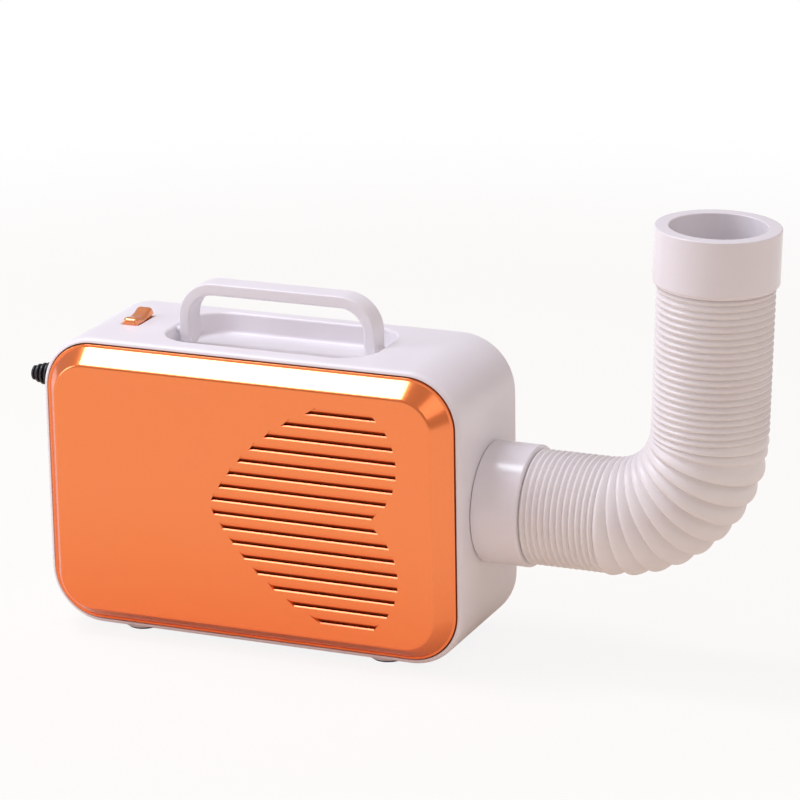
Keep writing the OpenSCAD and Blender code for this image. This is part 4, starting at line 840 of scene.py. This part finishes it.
def ribbed_hose(name, tree, **sizes):
    """A stretch of hose grown by a tree, its outside turned outwards, with a thin wall."""
    carrier = bpy.data.objects.new(name, bpy.data.meshes.new(name))
    bpy.context.scene.collection.objects.link(carrier)
    grow = carrier.modifiers.new("ribs", "NODES")
    grow.node_group = tree
    values = {key.replace("_", " "): value for key, value in sizes.items()}
    set_inputs(grow, tree, {"Material": blown_white_pe, **values})
    bake(carrier)
    carrier.data.transform(Matrix.Scale(MM, 4))
    work = bmesh.new()
    work.from_mesh(carrier.data)
    bmesh.ops.recalc_face_normals(work, faces=work.faces)
    face = max(work.faces, key=lambda f: f.calc_center_median().y)
    if face.normal.y < 0:
        bmesh.ops.reverse_faces(work, faces=work.faces)
    work.to_mesh(carrier.data)
    work.free()
    skin = carrier.modifiers.new("wall", "SOLIDIFY")
    skin.thickness = HOSE_WALL * MM
    skin.offset = -1
    return smooth(bake(carrier), 55)


closed_ribs = hose_tree("closed_ribs", CLOSED_RIB)
open_ribs = hose_tree("open_ribs", OPEN_RIB)

lower = ribbed_hose("lower_ribs", closed_ribs, Ribs=LOWER_RIBS, Steps=LOWER_RIBS * RIB_STEPS,
                    Sides=HOSE_SIDES, Length=LOWER_L, Crest_Radius=HOSE_R, Rib_Depth=RIB_DEPTH,
                    Open_Share=1, Start=(SIDE_X + CUFF_L, HOSE_Y, MID_Z))
dress(lower, blown_white_pe, "lower_hose", "white_hose", "hose_lower")

elbow = ribbed_hose("elbow_ribs", open_ribs, Ribs=OPENED_RIBS, Closed_Ribs=SHUT_RIBS,
                    Open_Share=OPENED_SHARE, Steps=ELBOW_STEPS, Sides=HOSE_SIDES,
                    Bend_Radius=ELBOW_R, Turn=radians(ELBOW_TURN), Crest_Radius=HOSE_R,
                    Swell=OPENED_SWELL, Rib_Depth=RIB_DEPTH, Extra_Depth=OPENED_GROOVE,
                    Start=(BEND_X, HOSE_Y, MID_Z))
coat_with(elbow, blown_white_pe)
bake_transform(elbow, "lower_hose", "upper_hose", start=(BEND_X * MM, HOSE_Y * MM, MID_Z * MM),
         end=ELBOW_END * MM)
# The bend is shared evenly by the ribs, so each point turns by its own share of the arc
share = elbow.data.attributes["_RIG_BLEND"]
for vertex in elbow.data.vertices:
    swing = degrees(atan2(vertex.co.x - BEND_X * MM, (MID_Z + ELBOW_R) * MM - vertex.co.z))
    share.data[vertex.index].value = min(1.0, max(0.0, swing / ELBOW_TURN))
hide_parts("hose_elbow")

upper = ribbed_hose("upper_ribs", closed_ribs, Ribs=UPPER_RIBS, Steps=UPPER_RIBS * RIB_STEPS,
                    Sides=HOSE_SIDES, Length=UPPER_L, Crest_Radius=HOSE_R, Rib_Depth=RIB_DEPTH,
                    Open_Share=1, Heading=-radians(ELBOW_TURN), Start=tuple(ELBOW_END))
coat_with(upper, blown_white_pe)
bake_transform(upper, "upper_hose", "nozzle", start=ELBOW_END * MM, end=HOSE_TOP * MM)
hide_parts("hose_upper")


# ---- floor, light and camera ---------------------------------------------------------------

FLOOR_WIDTH, FLOOR_MIDDLE = 20000, (-0.12, 0.32, 0)


def studio_floor():
    """A matt white sweep. To the camera and to mirrors it is a little whiter than it is lit, and
    it keeps the shadow."""
    material = bpy.data.materials.new("matt_white_sweep")
    material.use_nodes = True
    tree = material.node_tree
    tree.nodes.clear()
    ray = node(tree, "ShaderNodeLightPath").outputs
    place = node(tree, "ShaderNodeTexCoord").outputs["Object"]
    paper = node(tree, "ShaderNodeTexNoise", {"Vector": place, "Scale": 400})
    tone = node(tree, "ShaderNodeMix", {0: paper.outputs["Fac"], 6: linear("#F2E4D3"),
                7: linear("#F4E7D7")}, data_type="RGBA")
    lit = node(tree, "ShaderNodeBsdfDiffuse", {"Color": tone.outputs[2]})
    white = node(tree, "ShaderNodeEmission", {"Color": (1, 1, 1, 1), "Strength": 1.0})
    # It whitens away from a place behind the dryer, in metres
    off = node(tree, "ShaderNodeVectorMath", {0: place, 1: FLOOR_MIDDLE}, operation="SUBTRACT")
    far = node(tree, "ShaderNodeVectorMath", {0: off}, operation="LENGTH").outputs["Value"]
    wide = node(tree, "ShaderNodeMapRange", {"Value": far, "From Min": 0.5, "From Max": 1.2,
                "To Min": 0.87, "To Max": 1.0}, interpolation_type="SMOOTHSTEP")
    near = node(tree, "ShaderNodeMapRange", {"Value": far, "From Min": 0.4, "From Max": 0.7},
                interpolation_type="SMOOTHSTEP")
    seen = node(tree, "ShaderNodeMath", {0: ray["Is Camera Ray"], 1: ray["Is Transmission Ray"]},
                operation="ADD")
    seen = node(tree, "ShaderNodeMath", {0: seen, 1: wide.outputs[0]}, operation="MULTIPLY")
    seen = node(tree, "ShaderNodeMath", {0: ray["Is Glossy Ray"], 1: near.outputs[0], 2: seen},
                operation="MULTIPLY_ADD")
    mixed = node(tree, "ShaderNodeMixShader", {0: seen, 1: lit, 2: white})
    node(tree, "ShaderNodeOutputMaterial", {"Surface": mixed})
    half = FLOOR_WIDTH / 2
    floor = mesh_object("studio_floor", [(-half, -half, 0), (half, -half, 0), (half, half, 0),
                        (-half, half, 0)], [(0, 1, 2, 3)])
    floor.data.materials.append(material)
    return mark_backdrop(floor)


studio_floor()


def soft_lamp(name, spot, target, size, power, colour):
    """A rectangular lamp of so many watts, its size in metres, turned from its spot to a target."""
    lamp = bpy.data.lights.new(name, "AREA")
    lamp.shape = "RECTANGLE"
    lamp.size, lamp.size_y = size
    lamp.energy = power
    lamp.color = linear(colour)[:3]
    held = bpy.data.objects.new(name, lamp)
    bpy.context.scene.collection.objects.link(held)
    held.location = spot
    held.rotation_euler = (Vector(spot) - Vector(target)).to_track_quat("Z", "Y").to_euler()


world = bpy.data.worlds.new("studio_air")
world.use_nodes = True
sky = world.node_tree.nodes["Background"]
sky.inputs["Color"].default_value = linear("#FFF2F4")
sky.inputs["Strength"].default_value = 0.46
bpy.context.scene.world = world
# Where the sloped top edge of the front mirrors the camera, so that the edge shows the lamp
soft_lamp("overhead_box", (-0.662, -0.068, 1.663), (0, 0, 0.1), (0.36, 0.76), 12.5, "#ECF3FF")
# Where the slots' lips mirror the camera, so that each lip draws a light line
soft_lamp("lip_box", (-0.69, -0.65, 1.55), (0, 0, 0.1), (0.42, 0.42), 3.4, "#F6E4FF")
soft_lamp("left_fill", (-2.2, -1.0, 1.0), (0.05, 0, 0.12), (1.2, 1.2), 19, "#F0F4FF")
soft_lamp("right_fill", (1.7, -0.2, 1.5), (0.1, 0, 0.1), (1.2, 1.2), 5, "#FFF4EC")

# Where the camera stands, in metres, and how it is turned
CAMERA_PLACE, LENS, SENSOR = (1.07575, -2.30464, 0.94185), 180, 36
VIEW_AZIMUTH, VIEW_HEIGHT, VIEW_ROLL = radians(23.21), radians(17.15), radians(-0.98)
back = Vector((sin(VIEW_AZIMUTH) * cos(VIEW_HEIGHT), -cos(VIEW_AZIMUTH) * cos(VIEW_HEIGHT),
               sin(VIEW_HEIGHT)))
level = (-back).cross(Vector((0, 0, 1))).normalized()
up = level.cross(-back)
right = level * cos(VIEW_ROLL) + up * sin(VIEW_ROLL)
top = up * cos(VIEW_ROLL) - level * sin(VIEW_ROLL)
camera = bpy.data.objects.new("camera", bpy.data.cameras.new("camera"))
bpy.context.scene.collection.objects.link(camera)
turned = Matrix((right, top, back)).transposed().to_4x4()
camera.matrix_world = Matrix.Translation(CAMERA_PLACE) @ turned
camera.data.lens = LENS
camera.data.sensor_width = SENSOR
camera.data.clip_end = 100
bpy.context.scene.camera = camera
bpy.context.scene.view_settings.view_transform = "Standard"
